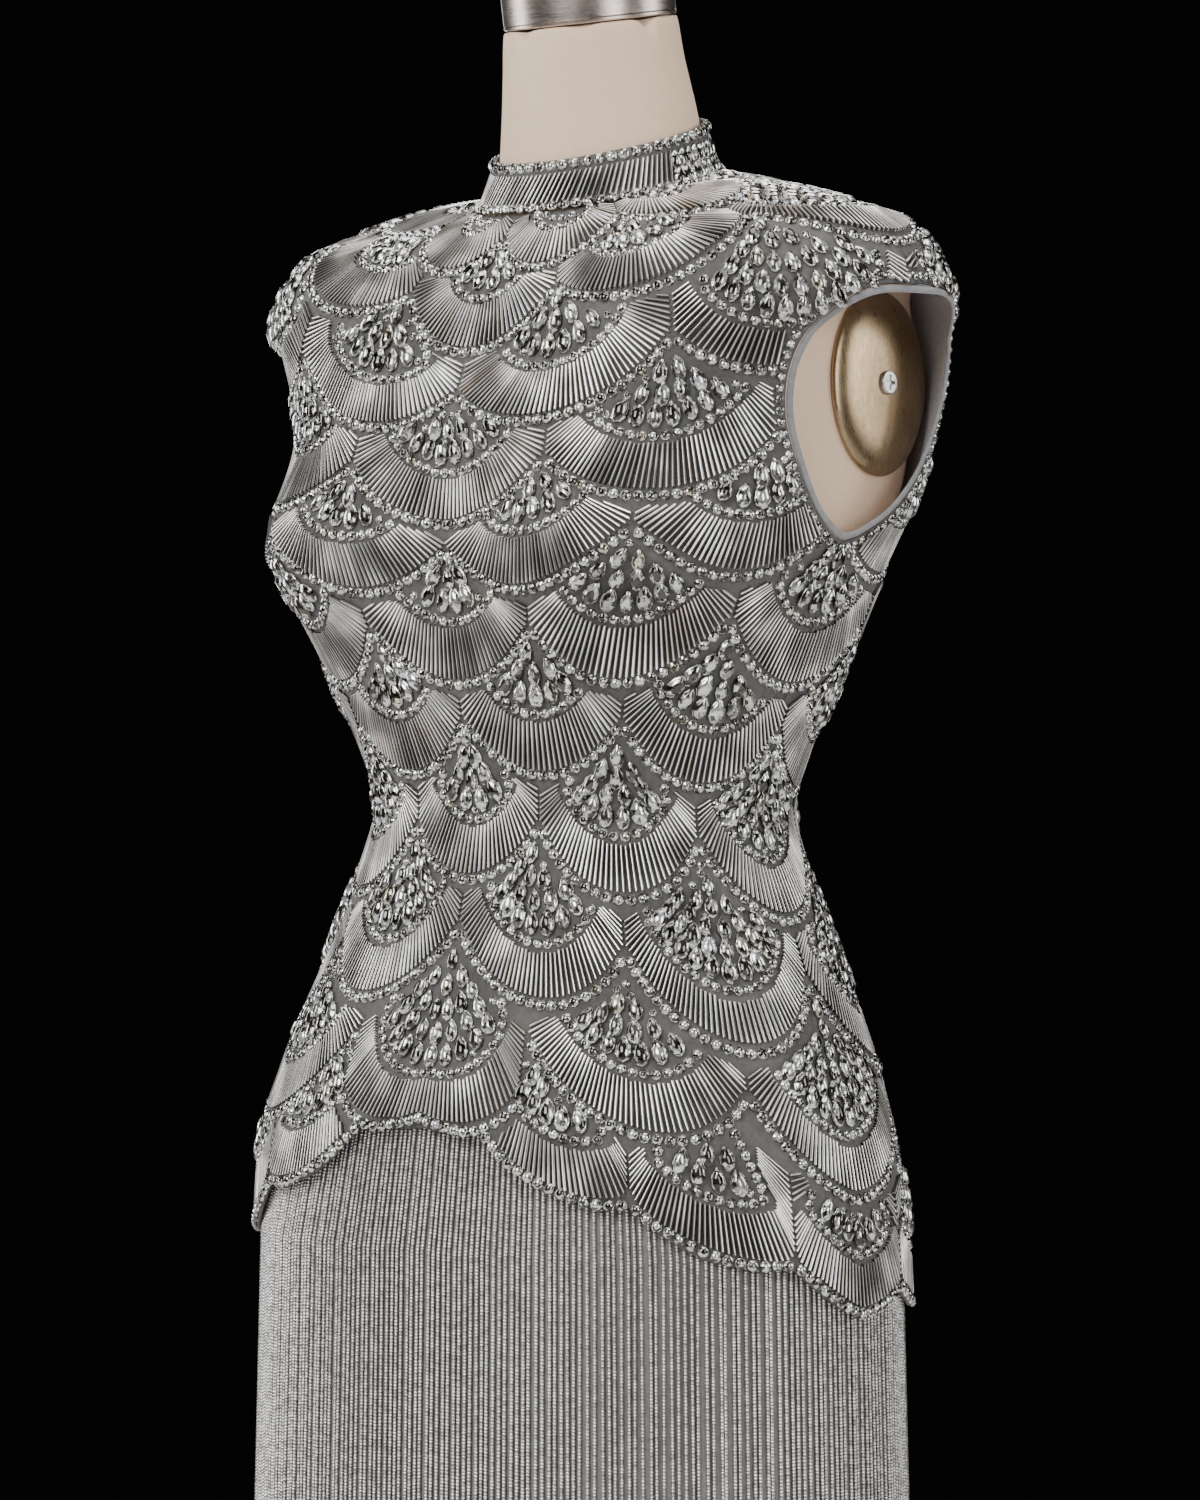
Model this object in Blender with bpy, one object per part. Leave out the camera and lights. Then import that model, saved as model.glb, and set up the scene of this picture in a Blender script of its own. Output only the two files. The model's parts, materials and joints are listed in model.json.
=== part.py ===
"""A sleeveless beaded tunic dress with a fringed skirt, worn by a limbless dress form on a round-footed stand.

Metres, +Z up. The dress faces -Y and its own left side is +X. The origin is the centre of the
stand's underside.
"""

from collections import namedtuple
from math import atan, atan2, cos, exp, pi, radians, sin

import bmesh
import bpy
from mathutils import Matrix, Vector

# Cloth and clearances
CLOTH = 0.0015
SEAM = 0.0003
FORM_GAP = 0.0018
BEAD_RISE = 0.0032
CLUSTER_RADIUS = 0.036
SCALLOP_DEPTH = 0.013

# Skirt and fringe
SKIRT_TOP = 0.925
SKIRT_HEM = 0.270
FRINGE_TOP = 0.905
FRINGE_ROOT = 0.893
FRINGE_BEND = 0.800
FRINGE_END = 0.242
STRANDS_A_SIDE = 78
STRAND_WIDTH_SHARE = 0.36
FRINGE_THICK = 0.0017
LAYER_GAP = 0.0008
TUNIC_GAP = 0.0015
SKIRT_STEP = CLOTH + LAYER_GAP + FRINGE_THICK + TUNIC_GAP

# Armholes
ARMHOLE_HALF_DEPTH = 0.058
ARMHOLE_UPPER_CURVE = 0.22
ARMHOLE_LOWER_CURVE = 0.60
ARMHOLE_FORWARD = 0.004
ARMHOLE_TOP = 4.0
ARMHOLE_BOTTOM = 10.0
ARMHOLE_ROWS = 12
LOWER_ROWS = 14
BINDING_WIDE = 0.0045
BINDING_THICK = 0.0026

# Panels
FRONT_COLUMNS = 24
BACK_COLUMNS = 12
SKIRT_COLUMNS = 24
COLLAR_COLUMNS = 32

# Dress form and stand
FLAT_SIDE = 0.166
FORM_COLUMNS = 32
FORM_BOTTOM = 0.745
NECK_CAP_RADIUS = 0.0478
NECK_CAP_HEIGHT = 0.030
NECK_CAP_ROUND = 0.007
PLATE_HALF_DEPTH = 0.041
PLATE_HALF_HEIGHT = 0.050
PLATE_THICK = 0.007
PLATE_CENTRE = (0.050, 1.263)
SCREW_RADIUS = 0.0065
SCREW_HEIGHT = 0.0022
SCREW_ROUND = 0.0008
POLE_RADIUS = 0.016
SOCKET_RADIUS = 0.030
SOCKET_HEIGHT = 0.060
BASE_RADIUS = 0.230
BASE_THICK = 0.022
BASE_EDGE = 0.010
SOCKET_EDGE = 0.004

# The torso by height: half-widths of its front and back halves, depths from the centre line
Section = namedtuple("Section", "height wide_front wide_back front back centre square")
SECTIONS = [
    Section(0.230, 0.206, 0.206, 0.147, 0.147, -0.002, 2.3),
    Section(0.630, 0.1955, 0.1955, 0.137, 0.137, -0.002, 2.3),
    Section(0.720, 0.193, 0.193, 0.136, 0.136, -0.002, 2.3),
    Section(0.790, 0.1925, 0.1925, 0.1365, 0.1355, -0.002, 2.3),
    Section(0.822, 0.190, 0.190, 0.135, 0.133, -0.003, 2.3),
    Section(0.857, 0.185, 0.185, 0.131, 0.129, -0.004, 2.3),
    Section(0.885, 0.177, 0.177, 0.124, 0.123, -0.003, 2.3),
    Section(0.913, 0.167, 0.167, 0.116, 0.116, -0.001, 2.3),
    Section(0.952, 0.150, 0.150, 0.105, 0.105, 0.001, 2.3),
    Section(0.975, 0.141, 0.141, 0.099, 0.099, 0.001, 2.3),
    Section(1.003, 0.129, 0.129, 0.093, 0.093, 0.002, 2.3),
    Section(1.034, 0.120, 0.120, 0.089, 0.089, 0.003, 2.3),
    Section(1.055, 0.125, 0.125, 0.091, 0.092, 0.003, 2.3),
    Section(1.077, 0.134, 0.134, 0.097, 0.097, 0.003, 2.35),
    Section(1.100, 0.144, 0.144, 0.102, 0.104, 0.003, 2.4),
    Section(1.130, 0.157, 0.157, 0.108, 0.110, 0.005, 2.45),
    Section(1.155, 0.166, 0.166, 0.113, 0.112, 0.008, 2.5),
    Section(1.177, 0.174, 0.174, 0.120, 0.111, 0.012, 2.5),
    Section(1.200, 0.176, 0.186, 0.125, 0.108, 0.018, 2.5),
    Section(1.225, 0.178, 0.196, 0.128, 0.105, 0.022, 2.45),
    Section(1.250, 0.183, 0.205, 0.128, 0.106, 0.023, 2.4),
    Section(1.275, 0.195, 0.211, 0.124, 0.105, 0.024, 2.4),
    Section(1.308, 0.213, 0.213, 0.112, 0.102, 0.025, 2.35),
]

# The shoulder rings, neck to cap: heights at centre front, side and centre back; a softness of 1 is a flat tilt
ShoulderRing = namedtuple("ShoulderRing", "at_front at_side at_back soft wide front back centre square")
SHOULDER_RINGS = [
    ShoulderRing(1.3555, 1.3718, 1.3880, 1.0, 0.0665, 0.0660, 0.0650, 0.0170, 2.0),
    ShoulderRing(1.3360, 1.3705, 1.3850, 1.3, 0.1020, 0.0840, 0.0790, 0.0190, 2.0),
    ShoulderRing(1.3120, 1.3603, 1.3725, 1.6, 0.1460, 0.1010, 0.0920, 0.0220, 2.2),
    ShoulderRing(1.2880, 1.3470, 1.3450, 1.8, 0.1890, 0.1130, 0.1010, 0.0240, 2.3),
    ShoulderRing(1.2650, 1.3120, 1.3080, 2.0, 0.2130, 0.1215, 0.1030, 0.0250, 2.35),
]

# The rings below the cap, which turn by steps into the pointed line of the tunic's hem
BodyRing = namedtuple("BodyRing", "at_front at_side at_back")
BODY_RINGS = [
    BodyRing(1.246, 1.288, 1.284),
    BodyRing(1.228, 1.264, 1.260),
    BodyRing(1.210, 1.240, 1.236),
    BodyRing(1.193, 1.216, 1.208),
    BodyRing(1.176, 1.195, 1.188),
    BodyRing(1.160, 1.177, 1.171),
    BodyRing(1.138, 1.151, 1.147),
    BodyRing(1.114, 1.122, 1.120),
    BodyRing(1.088, 1.093, 1.092),
    BodyRing(1.062, 1.063, 1.063),
    BodyRing(1.036, 1.034, 1.034),
    BodyRing(1.010, 1.004, 1.003),
    BodyRing(0.984, 0.973, 0.972),
    BodyRing(0.960, 0.942, 0.940),
    BodyRing(0.938, 0.910, 0.907),
    BodyRing(0.918, 0.877, 0.873),
    BodyRing(0.900, 0.843, 0.838),
    BodyRing(0.887, 0.810, 0.803),
    BodyRing(0.874, 0.780, 0.772),
]
HEM_RING = len(SHOULDER_RINGS) + len(BODY_RINGS) - 1

# The rows of beaded fans, neck to hem: how many go round, and whether one is at the centre front
FanRow = namedtuple("FanRow", "ring count on_centre")
FAN_ROWS = [
    FanRow(0.4, 8, False),
    FanRow(1.8, 8, True),
    FanRow(3.4, 8, False),
    FanRow(5.4, 8, True),
    FanRow(8.0, 8, False),
    FanRow(10.6, 8, True),
    FanRow(12.6, 8, False),
    FanRow(14.7, 8, True),
    FanRow(16.7, 8, False),
    FanRow(19.2, 8, True),
    FanRow(21.4, 12, True),
]
HEM_FANS = 12

# The bust: a soft mound each side
BUST_RISE = 0.026
BUST_ANGLE = radians(41)
BUST_SPREAD = radians(25)
BUST_HEIGHT = 1.176
BUST_TALL = 0.046

COLOURS = {
    "beaded_cloth": ((0.46, 0.44, 0.42), 0.35, 0.35),
    "plain_cloth": ((0.36, 0.34, 0.33), 0.60, 0.0),
    "binding_cloth": ((0.42, 0.41, 0.44), 0.65, 0.0),
    "fringe_beads": ((0.60, 0.58, 0.56), 0.30, 0.4),
    "linen": ((0.66, 0.59, 0.51), 0.85, 0.0),
    "brushed_steel": ((0.56, 0.56, 0.57), 0.28, 1.0),
    "satin_brass": ((0.46, 0.36, 0.22), 0.38, 1.0),
    "stand_paint": ((0.05, 0.05, 0.05), 0.45, 0.2),
}


def clear_scene():
    """Removes every object that the file starts with."""
    for thing in list(bpy.data.objects):
        bpy.data.objects.remove(thing, do_unlink=True)


def material(kind):
    """The Principled BSDF material of one finish, made once."""
    if kind in bpy.data.materials:
        return bpy.data.materials[kind]
    colour, roughness, metallic = COLOURS[kind]
    made = bpy.data.materials.new(kind)
    made.use_nodes = True
    shader = made.node_tree.nodes["Principled BSDF"]
    shader.inputs["Base Color"].default_value = (*colour, 1.0)
    shader.inputs["Roughness"].default_value = roughness
    shader.inputs["Metallic"].default_value = metallic
    return made


def finish(name, bm, kind, place=None, sharp=40):
    """Turns a bmesh into a named object with outward faces and smooth shading."""
    bmesh.ops.recalc_face_normals(bm, faces=bm.faces)
    if bm.calc_volume(signed=True) < 0:
        bmesh.ops.reverse_faces(bm, faces=bm.faces)
    mesh = bpy.data.meshes.new(name)
    bm.to_mesh(mesh)
    bm.free()
    mesh.shade_smooth()
    mesh.set_sharp_from_angle(angle=radians(sharp))
    mesh.materials.append(material(kind))
    made = bpy.data.objects.new(name, mesh)
    bpy.context.scene.collection.objects.link(made)
    if place is not None:
        made.matrix_world = place
    return made


def smooth_between(before, start, end, after, share):
    """Catmull-Rom interpolation between start and end."""
    return (
        start
        + 0.5 * share * (end - before)
        + share**2 * (before - 2.5 * start + 2.0 * end - 0.5 * after)
        + share**3 * (1.5 * start - 1.5 * end + 0.5 * after - 0.5 * before)
    )


def section_at(height):
    """The torso's section at a height, read smoothly from the table."""
    last = len(SECTIONS) - 2
    low = sum(1 for row in SECTIONS[1:-1] if row.height <= height)
    low = min(low, last)
    rows = [SECTIONS[max(low - 1, 0)], SECTIONS[low], SECTIONS[low + 1], SECTIONS[min(low + 2, last + 1)]]
    share = (height - rows[1].height) / (rows[2].height - rows[1].height)
    share = min(max(share, 0.0), 1.0)
    slopes = []
    for first, middle, final in ((rows[0], rows[1], rows[2]), (rows[1], rows[2], rows[3])):
        span = final.height - first.height
        slopes.append([(b - a) / span * (rows[2].height - rows[1].height) for a, b in zip(first, final)])
    values = []
    for index in range(len(rows[1])):
        start, end = rows[1][index], rows[2][index]
        values.append(
            (2 * share**3 - 3 * share**2 + 1) * start
            + (share**3 - 2 * share**2 + share) * slopes[0][index]
            + (3 * share**2 - 2 * share**3) * end
            + (share**3 - share**2) * slopes[1][index]
        )
    return Section(*values)


def reach(wide, deep, square, angle):
    """The radius of a squared ellipse at an angle from its deep side."""
    across = abs(sin(angle)) / wide
    along = abs(cos(angle)) / deep
    return (across**square + along**square) ** (-1.0 / square)


def bust_mound(angle, height):
    """How far the bust pushes the section out at this angle and height."""
    across = (abs(angle) - BUST_ANGLE) / BUST_SPREAD
    up = (height - BUST_HEIGHT) / BUST_TALL
    return BUST_RISE * exp(-(across**2) - up**2)


def torso_point(angle, height):
    """A point of the torso below the shoulders; the angle runs from the centre front to the left."""
    row = section_at(height)
    front = cos(angle) > 0
    wide = row.wide_front if front else row.wide_back
    deep = row.front if front else row.back
    radius = reach(wide, deep, row.square, angle) + bust_mound(angle, height)
    return Vector((radius * sin(angle), row.centre - radius * cos(angle), height))


def tilted_height(at_front, at_side, at_back, angle, softness=2.0, pointed=0.0):
    """The height of a ring at an angle: a tilt, or as far as it is pointed a straight fall from the front."""
    facing = cos(angle)
    soft = abs(facing) ** softness
    turned = abs(atan2(sin(angle), facing)) / (pi / 2)
    straight = max(1.0 - turned, 0.0) if facing > 0 else soft
    share = pointed * straight + (1.0 - pointed) * soft
    return at_side + ((at_front if facing > 0 else at_back) - at_side) * share


def ring_point(ring, angle):
    """A point on a whole-numbered ring."""
    ring = min(max(ring, 0), HEM_RING)
    if ring < len(SHOULDER_RINGS):
        row = SHOULDER_RINGS[ring]
        height = tilted_height(row.at_front, row.at_side, row.at_back, angle, row.soft)
        radius = reach(row.wide, row.front if cos(angle) > 0 else row.back, row.square, angle)
        return Vector((radius * sin(angle), row.centre - radius * cos(angle), height))
    index = ring - len(SHOULDER_RINGS)
    row = BODY_RINGS[index]
    pointed = index / (len(BODY_RINGS) - 1)
    height = tilted_height(row.at_front, row.at_side, row.at_back, angle, pointed=pointed)
    return torso_point(angle, height)


def surface(ring, angle):
    """The tunic's inner surface at any ring, whole or between."""
    low = min(int(ring), HEM_RING - 1)
    points = [ring_point(low + step, angle) for step in (-1, 0, 1, 2)]
    return smooth_between(*points, ring - low)


def outward(ring, angle):
    """The surface's outward direction."""
    step = 0.02
    along = surface(ring, angle + step) - surface(ring, angle - step)
    down = surface(min(ring + step, HEM_RING), angle) - surface(max(ring - step, 0), angle)
    facing = along.cross(down)
    if facing.dot(Vector((sin(angle), -cos(angle), 0.2))) < 0:
        facing.negate()
    return facing.normalized()


def even_angles(ring, count, first=0.0):
    """Angles that divide a ring into equal lengths, the first one a share of a step past the centre front."""
    samples = 180
    angles = [2 * pi * k / samples for k in range(samples + 1)]
    points = [surface(ring, angle) for angle in angles]
    lengths = [0.0]
    for before, after in zip(points, points[1:]):
        lengths.append(lengths[-1] + (after - before).length)
    found = []
    for k in range(count):
        target = lengths[-1] * (k + first) / count
        place = max(i for i in range(samples) if lengths[i] <= target + 1e-9)
        share = (target - lengths[place]) / (lengths[place + 1] - lengths[place])
        found.append(angles[place] + share * (angles[1] - angles[0]))
    return found


def fan_clusters():
    """The centres of the crystal clusters, one in each fan."""
    centres = []
    for row in FAN_ROWS:
        for angle in even_angles(row.ring, row.count, 0.0 if row.on_centre else 0.5):
            centres.append(surface(row.ring, angle))
    return centres


def bead_relief(point, centres):
    """How far the beading stands out at a point: most at the middle of a cluster."""
    rise = 0.0
    for centre in centres:
        near = (point - centre).length / CLUSTER_RADIUS
        if near < 1.0:
            rise = max(rise, BEAD_RISE * (1.0 - near**2))
    return rise


def hem_drop(angle):
    """How far a scallop hangs below the hem line: deepest at the middle of each fan."""
    edges = even_angles(HEM_RING, HEM_FANS, 0.5)
    turned = angle % (2 * pi)
    bounds = [edges[-1] - 2 * pi, *edges, edges[0] + 2 * pi]
    for low, high in zip(bounds, bounds[1:]):
        if low <= turned <= high:
            return SCALLOP_DEPTH * sin(pi * (turned - low) / (high - low))
    return 0.0


def armhole_half(ring):
    """Half the armhole's width at a ring, 0 above and below it."""
    share = (ring - ARMHOLE_TOP) / (ARMHOLE_BOTTOM - ARMHOLE_TOP)
    if not 0.0 < share < 1.0:
        return 0.0
    fullest = ARMHOLE_UPPER_CURVE / (ARMHOLE_UPPER_CURVE + ARMHOLE_LOWER_CURVE)
    full = fullest**ARMHOLE_UPPER_CURVE * (1 - fullest) ** ARMHOLE_LOWER_CURVE
    return ARMHOLE_HALF_DEPTH * share**ARMHOLE_UPPER_CURVE * (1 - share) ** ARMHOLE_LOWER_CURVE / full


def edge_angle(ring, side, inset=0.0):
    """The angle where a panel ends: at the side seam, or at the armhole's edge. side is -1 for the front."""
    half = armhole_half(ring)
    centre_y = surface(ring, pi / 2).y - ARMHOLE_FORWARD
    seam = side * SEAM / 2
    target = centre_y + side * (half - inset) + seam
    if half == 0.0:
        target = centre_y + seam
    low, high = (radians(20), pi / 2) if side < 0 else (pi / 2, radians(160))
    for _ in range(40):
        middle = (low + high) / 2
        if surface(ring, middle).y < target:
            low = middle
        else:
            high = middle
    return (low + high) / 2


def bodice_rings():
    """The ring of each row of points, neck to hem, closer together round the armholes."""
    rows = [0.0, 0.6, 1.3, 2.0, 2.8, 3.5]
    span = ARMHOLE_BOTTOM - ARMHOLE_TOP
    rows += [ARMHOLE_TOP + span * (1 - cos(pi * k / ARMHOLE_ROWS)) / 2 for k in range(ARMHOLE_ROWS + 1)]
    rows += [ARMHOLE_BOTTOM + (HEM_RING - ARMHOLE_BOTTOM) * k / LOWER_ROWS for k in range(1, LOWER_ROWS + 1)]
    return rows


def sheet_panel(name, rows, columns, inner, outer, kind, sharp=50):
    """A closed cloth wall over a grid: inner and outer give the point at (row, column) of each face."""
    bm = bmesh.new()
    bmesh.ops.create_grid(bm, x_segments=columns, y_segments=rows, size=1.0)
    column_of = bm.verts.layers.int.new("column")
    row_of = bm.verts.layers.int.new("row")
    for vert in bm.verts:
        vert[column_of] = round((vert.co.x + 1) / 2 * columns)
        vert[row_of] = round((vert.co.y + 1) / 2 * rows)
    grown = bmesh.ops.extrude_face_region(bm, geom=bm.faces[:])
    lifted = {piece for piece in grown["geom"] if isinstance(piece, bmesh.types.BMVert)}
    for vert in bm.verts:
        place = outer if vert in lifted else inner
        vert.co = place(vert[row_of], vert[column_of])
    return finish(name, bm, kind, sharp=sharp)


def bodice_panel(name, columns, from_share, to_share, side, centres):
    """One bodice panel. Shares run across its half of the tunic: -1 and 1 are the two side edges."""
    rings = bodice_rings()
    rows = len(rings) - 1
    edges = [edge_angle(ring, side) for ring in rings]
    placed = {}

    def base(row, column):
        if (row, column) not in placed:
            share = from_share + (to_share - from_share) * column / columns
            if side < 0:
                angle = share * edges[row]
            else:
                angle = pi - share * (pi - edges[row])
            point = surface(rings[row], angle)
            facing = outward(rings[row], angle)
            if row == rows:
                point = point - Vector((0.0, 0.0, hem_drop(angle)))
            placed[(row, column)] = (point, facing)
        return placed[(row, column)]

    def inner(row, column):
        return base(row, column)[0].copy()

    def outer(row, column):
        point, facing = base(row, column)
        at_edge = row in (0, rows) or column in (0, columns)
        rise = 0.0 if at_edge else bead_relief(point, centres)
        return point + facing * (CLOTH + rise)

    return sheet_panel(name, rows, columns, inner, outer, "beaded_cloth")


def make_bodice():
    """The tunic's front and its two back panels, which meet at the centre back closing."""
    centres = fan_clusters()
    closing = SEAM / (2 * pi * 0.1)
    bodice_panel("bodice_front", FRONT_COLUMNS, -1.0, 1.0, -1, centres)
    bodice_panel("bodice_back_left", BACK_COLUMNS, 1.0, closing, 1, centres)
    bodice_panel("bodice_back_right", BACK_COLUMNS, -closing, -1.0, 1, centres)


# The collar band, foot to top: round rings tilted down at the front
NeckRing = namedtuple("NeckRing", "at_front at_back radius centre")
COLLAR_RINGS = [
    NeckRing(1.3580, 1.3905, 0.0665, 0.0172),
    NeckRing(1.3625, 1.3955, 0.0625, 0.0172),
    NeckRing(1.3720, 1.4050, 0.0592, 0.0174),
    NeckRing(1.3850, 1.4190, 0.0572, 0.0170),
]


def neck_point(ring, angle, out=0.0):
    """A point of a tilted round ring, or out from it."""
    radius = ring.radius + out
    height = tilted_height(ring.at_front, (ring.at_front + ring.at_back) / 2, ring.at_back, angle, 1.0)
    return Vector((radius * sin(angle), ring.centre - radius * cos(angle), height))


def make_collar():
    """The stand-up band, open at the centre back."""
    half = pi - SEAM / COLLAR_RINGS[0].radius

    def angle_of(column):
        return half * (2 * column / COLLAR_COLUMNS - 1)

    def inner(row, column):
        return neck_point(COLLAR_RINGS[row], angle_of(column))

    def outer(row, column):
        return neck_point(COLLAR_RINGS[row], angle_of(column), CLOTH)

    sheet_panel("collar_band", len(COLLAR_RINGS) - 1, COLLAR_COLUMNS, inner, outer, "beaded_cloth")


def armhole_loop(mirror):
    """(edge point, outward direction, direction into the opening) round one armhole."""
    rings = [ring for ring in bodice_rings() if ARMHOLE_TOP < ring < ARMHOLE_BOTTOM]
    middle_ring = (ARMHOLE_TOP + ARMHOLE_BOTTOM) / 2
    centre = surface(middle_ring, pi / 2)
    stations = [(ring, -1) for ring in rings] + [(ring, 1) for ring in reversed(rings)]
    stations = [(ARMHOLE_TOP, 0)] + stations[: len(rings)] + [(ARMHOLE_BOTTOM, 0)] + stations[len(rings) :]
    loop = []
    for ring, side in stations:
        angle = pi / 2 if side == 0 else edge_angle(ring, side)
        point = surface(ring, angle)
        facing = outward(ring, angle)
        inwards = centre - point
        inwards = (inwards - facing * inwards.dot(facing)).normalized()
        for vector in (point, facing, inwards):
            vector.x *= mirror
        loop.append((point, facing, inwards))
    return loop


def make_binding(name, mirror):
    """The plain binding that lines one armhole's edge: a closed band of four long faces."""
    bm = bmesh.new()
    rings = []
    for point, facing, inwards in armhole_loop(mirror):
        start = point + inwards * (2 * SEAM) + facing * (CLOTH / 2)
        corners = []
        for along, out in ((0, -1), (0, 1), (1, 0.7), (1, -0.7)):
            corners.append(start + inwards * (BINDING_WIDE * along) + facing * (BINDING_THICK / 2 * out))
        rings.append([bm.verts.new(corner) for corner in corners])
    for here, following in zip(rings, rings[1:] + rings[:1]):
        for k in range(4):
            bm.faces.new((here[k], here[(k + 1) % 4], following[(k + 1) % 4], following[k]))
    return finish(name, bm, "binding_cloth", sharp=30)


SKIRT_LEVELS = [FRINGE_END, FRINGE_BEND, FRINGE_ROOT, SKIRT_TOP]


def layer_point(angle, height, out):
    """A point of the skirt's layers, out from the underskirt's inner face; straight between its levels."""
    low = max(k for k in range(len(SKIRT_LEVELS) - 1) if SKIRT_LEVELS[k] <= height or k == 0)
    under, over = SKIRT_LEVELS[low], SKIRT_LEVELS[low + 1]
    ends = [torso_point(angle, under), torso_point(angle, over)]
    point = ends[0].lerp(ends[1], (height - under) / (over - under))
    facing = Vector((point.x, point.y - section_at(height).centre, 0.0)).normalized()
    return point + facing * (out - SKIRT_STEP)


def make_skirt(name, middle):
    """One underskirt panel, centred on the middle angle."""
    reach_each_way = pi / 2 - SEAM / (2 * 0.2)

    def place(row, column, out):
        angle = middle + reach_each_way * (2 * column / SKIRT_COLUMNS - 1)
        return layer_point(angle, max(SKIRT_LEVELS[row], SKIRT_HEM), out)

    sheet_panel(
        name,
        len(SKIRT_LEVELS) - 1,
        SKIRT_COLUMNS,
        lambda row, column: place(row, column, 0.0),
        lambda row, column: place(row, column, CLOTH),
        "plain_cloth",
    )


def make_fringe(name, middle):
    """A heading strip with square strands extruded down from every other stretch of its lower edge."""
    pitch = pi / STRANDS_A_SIDE
    columns = 2 * STRANDS_A_SIDE - 1
    inner_out = CLOTH + LAYER_GAP
    bm = bmesh.new()
    bmesh.ops.create_grid(bm, x_segments=columns, y_segments=1, size=1.0)
    column_of = bm.verts.layers.int.new("column")
    lifted_of = bm.verts.layers.int.new("lifted")
    for vert in bm.verts:
        vert[column_of] = round((vert.co.x + 1) / 2 * columns)
    top = {vert for vert in bm.verts if vert.co.y > 0}
    grown = bmesh.ops.extrude_face_region(bm, geom=bm.faces[:])
    for piece in grown["geom"]:
        if isinstance(piece, bmesh.types.BMVert):
            piece[lifted_of] = 1
            if piece.co.y > 0:
                top.add(piece)

    def place(column, lifted, height):
        strand, edge = divmod(column, 2)
        offset = (edge - 0.5) * STRAND_WIDTH_SHARE
        angle = middle - pi / 2 + pitch * (strand + 0.5 + offset)
        return layer_point(angle, height, inner_out + FRINGE_THICK * lifted)

    for vert in bm.verts:
        height = FRINGE_TOP if vert in top else FRINGE_ROOT
        vert.co = place(vert[column_of], vert[lifted_of], height)
    roots = []
    for face in bm.faces:
        low = all(abs(vert.co.z - FRINGE_ROOT) < 1e-6 for vert in face.verts)
        if low and min(vert[column_of] for vert in face.verts) % 2 == 0:
            ends = {vert[column_of] for vert in face.verts}
            if len(ends) == 2:
                roots.append(face)
    for height in (FRINGE_BEND, FRINGE_END):
        grown = bmesh.ops.extrude_discrete_faces(bm, faces=roots)
        roots = grown["faces"]
        for face in roots:
            for vert in face.verts:
                vert.co = place(vert[column_of], vert[lifted_of], height)
    return finish(name, bm, "fringe_beads", sharp=30)


def closed_stack(name, rings, kind, sharp=50):
    """A solid through closed rings of points, bottom to top, with flat ends."""
    columns = len(rings[0])
    bm = bmesh.new()
    bmesh.ops.create_circle(bm, cap_ends=True, segments=columns, radius=1.0)
    column_of = bm.verts.layers.int.new("column")
    for vert in bm.verts:
        vert[column_of] = round(atan2(vert.co.y, vert.co.x) / (2 * pi) * columns) % columns
        vert.co = rings[0][vert[column_of]]
    edges = bm.edges[:]
    for ring in rings[1:]:
        grown = bmesh.ops.extrude_edge_only(bm, edges=edges)
        for piece in grown["geom"]:
            if isinstance(piece, bmesh.types.BMVert):
                piece.co = ring[piece[column_of]]
        added = {piece for piece in grown["geom"] if isinstance(piece, bmesh.types.BMEdge)}
        tips = {piece for piece in grown["geom"] if isinstance(piece, bmesh.types.BMVert)}
        edges = [edge for edge in added if edge.verts[0] in tips and edge.verts[1] in tips]
    bmesh.ops.contextual_create(bm, geom=edges)
    return finish(name, bm, kind, sharp=sharp)


def form_surface(ring, angle):
    """The form just inside the tunic, cut flat at each side."""
    point = surface(ring, angle) - outward(ring, angle) * FORM_GAP
    point.x = min(max(point.x, -FLAT_SIDE), FLAT_SIDE)
    return point


def form_low_point(angle, height):
    """The form inside the skirt, and inside the tunic above it."""
    if height <= SKIRT_TOP:
        return layer_point(angle, height, -FORM_GAP)
    point = torso_point(angle, height)
    facing = Vector((point.x, point.y - section_at(height).centre, 0.0)).normalized()
    return point - facing * FORM_GAP


# The form's neck, foot to top
NECK_RINGS = [
    NeckRing(1.3595, 1.3925, 0.0608, 0.0172),
    NeckRing(1.3740, 1.4070, 0.0565, 0.0173),
    NeckRing(1.3870, 1.4210, 0.0552, 0.0168),
    NeckRing(1.4080, 1.4360, 0.0528, 0.0145),
    NeckRing(1.4320, 1.4520, 0.0502, 0.0115),
    NeckRing(1.4580, 1.4744, 0.0484, 0.0088),
]
FORM_LEVELS = [FORM_BOTTOM, FRINGE_BEND, FRINGE_ROOT, SKIRT_TOP, 0.945, 0.967, 0.99]
FORM_LEVELS += [1.01, 1.028, 1.048, 1.07, 1.095, 1.12]
FORM_RINGS = [9.9, 8.8, 7.6, 6.4, 5.2, 4.0, 3.4, 2.8, 2.1, 1.4, 0.7, 0.0]


def make_torso():
    """The linen-covered form: hip to neck in one solid."""
    angles = [2 * pi * k / FORM_COLUMNS for k in range(FORM_COLUMNS)]
    rings = [[form_low_point(angle, level) for angle in angles] for level in FORM_LEVELS]
    rings += [[form_surface(ring, angle) for angle in angles] for ring in FORM_RINGS]
    rings += [[neck_point(ring, angle) for angle in angles] for ring in NECK_RINGS]
    closed_stack("form_torso", rings, "linen")


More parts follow.
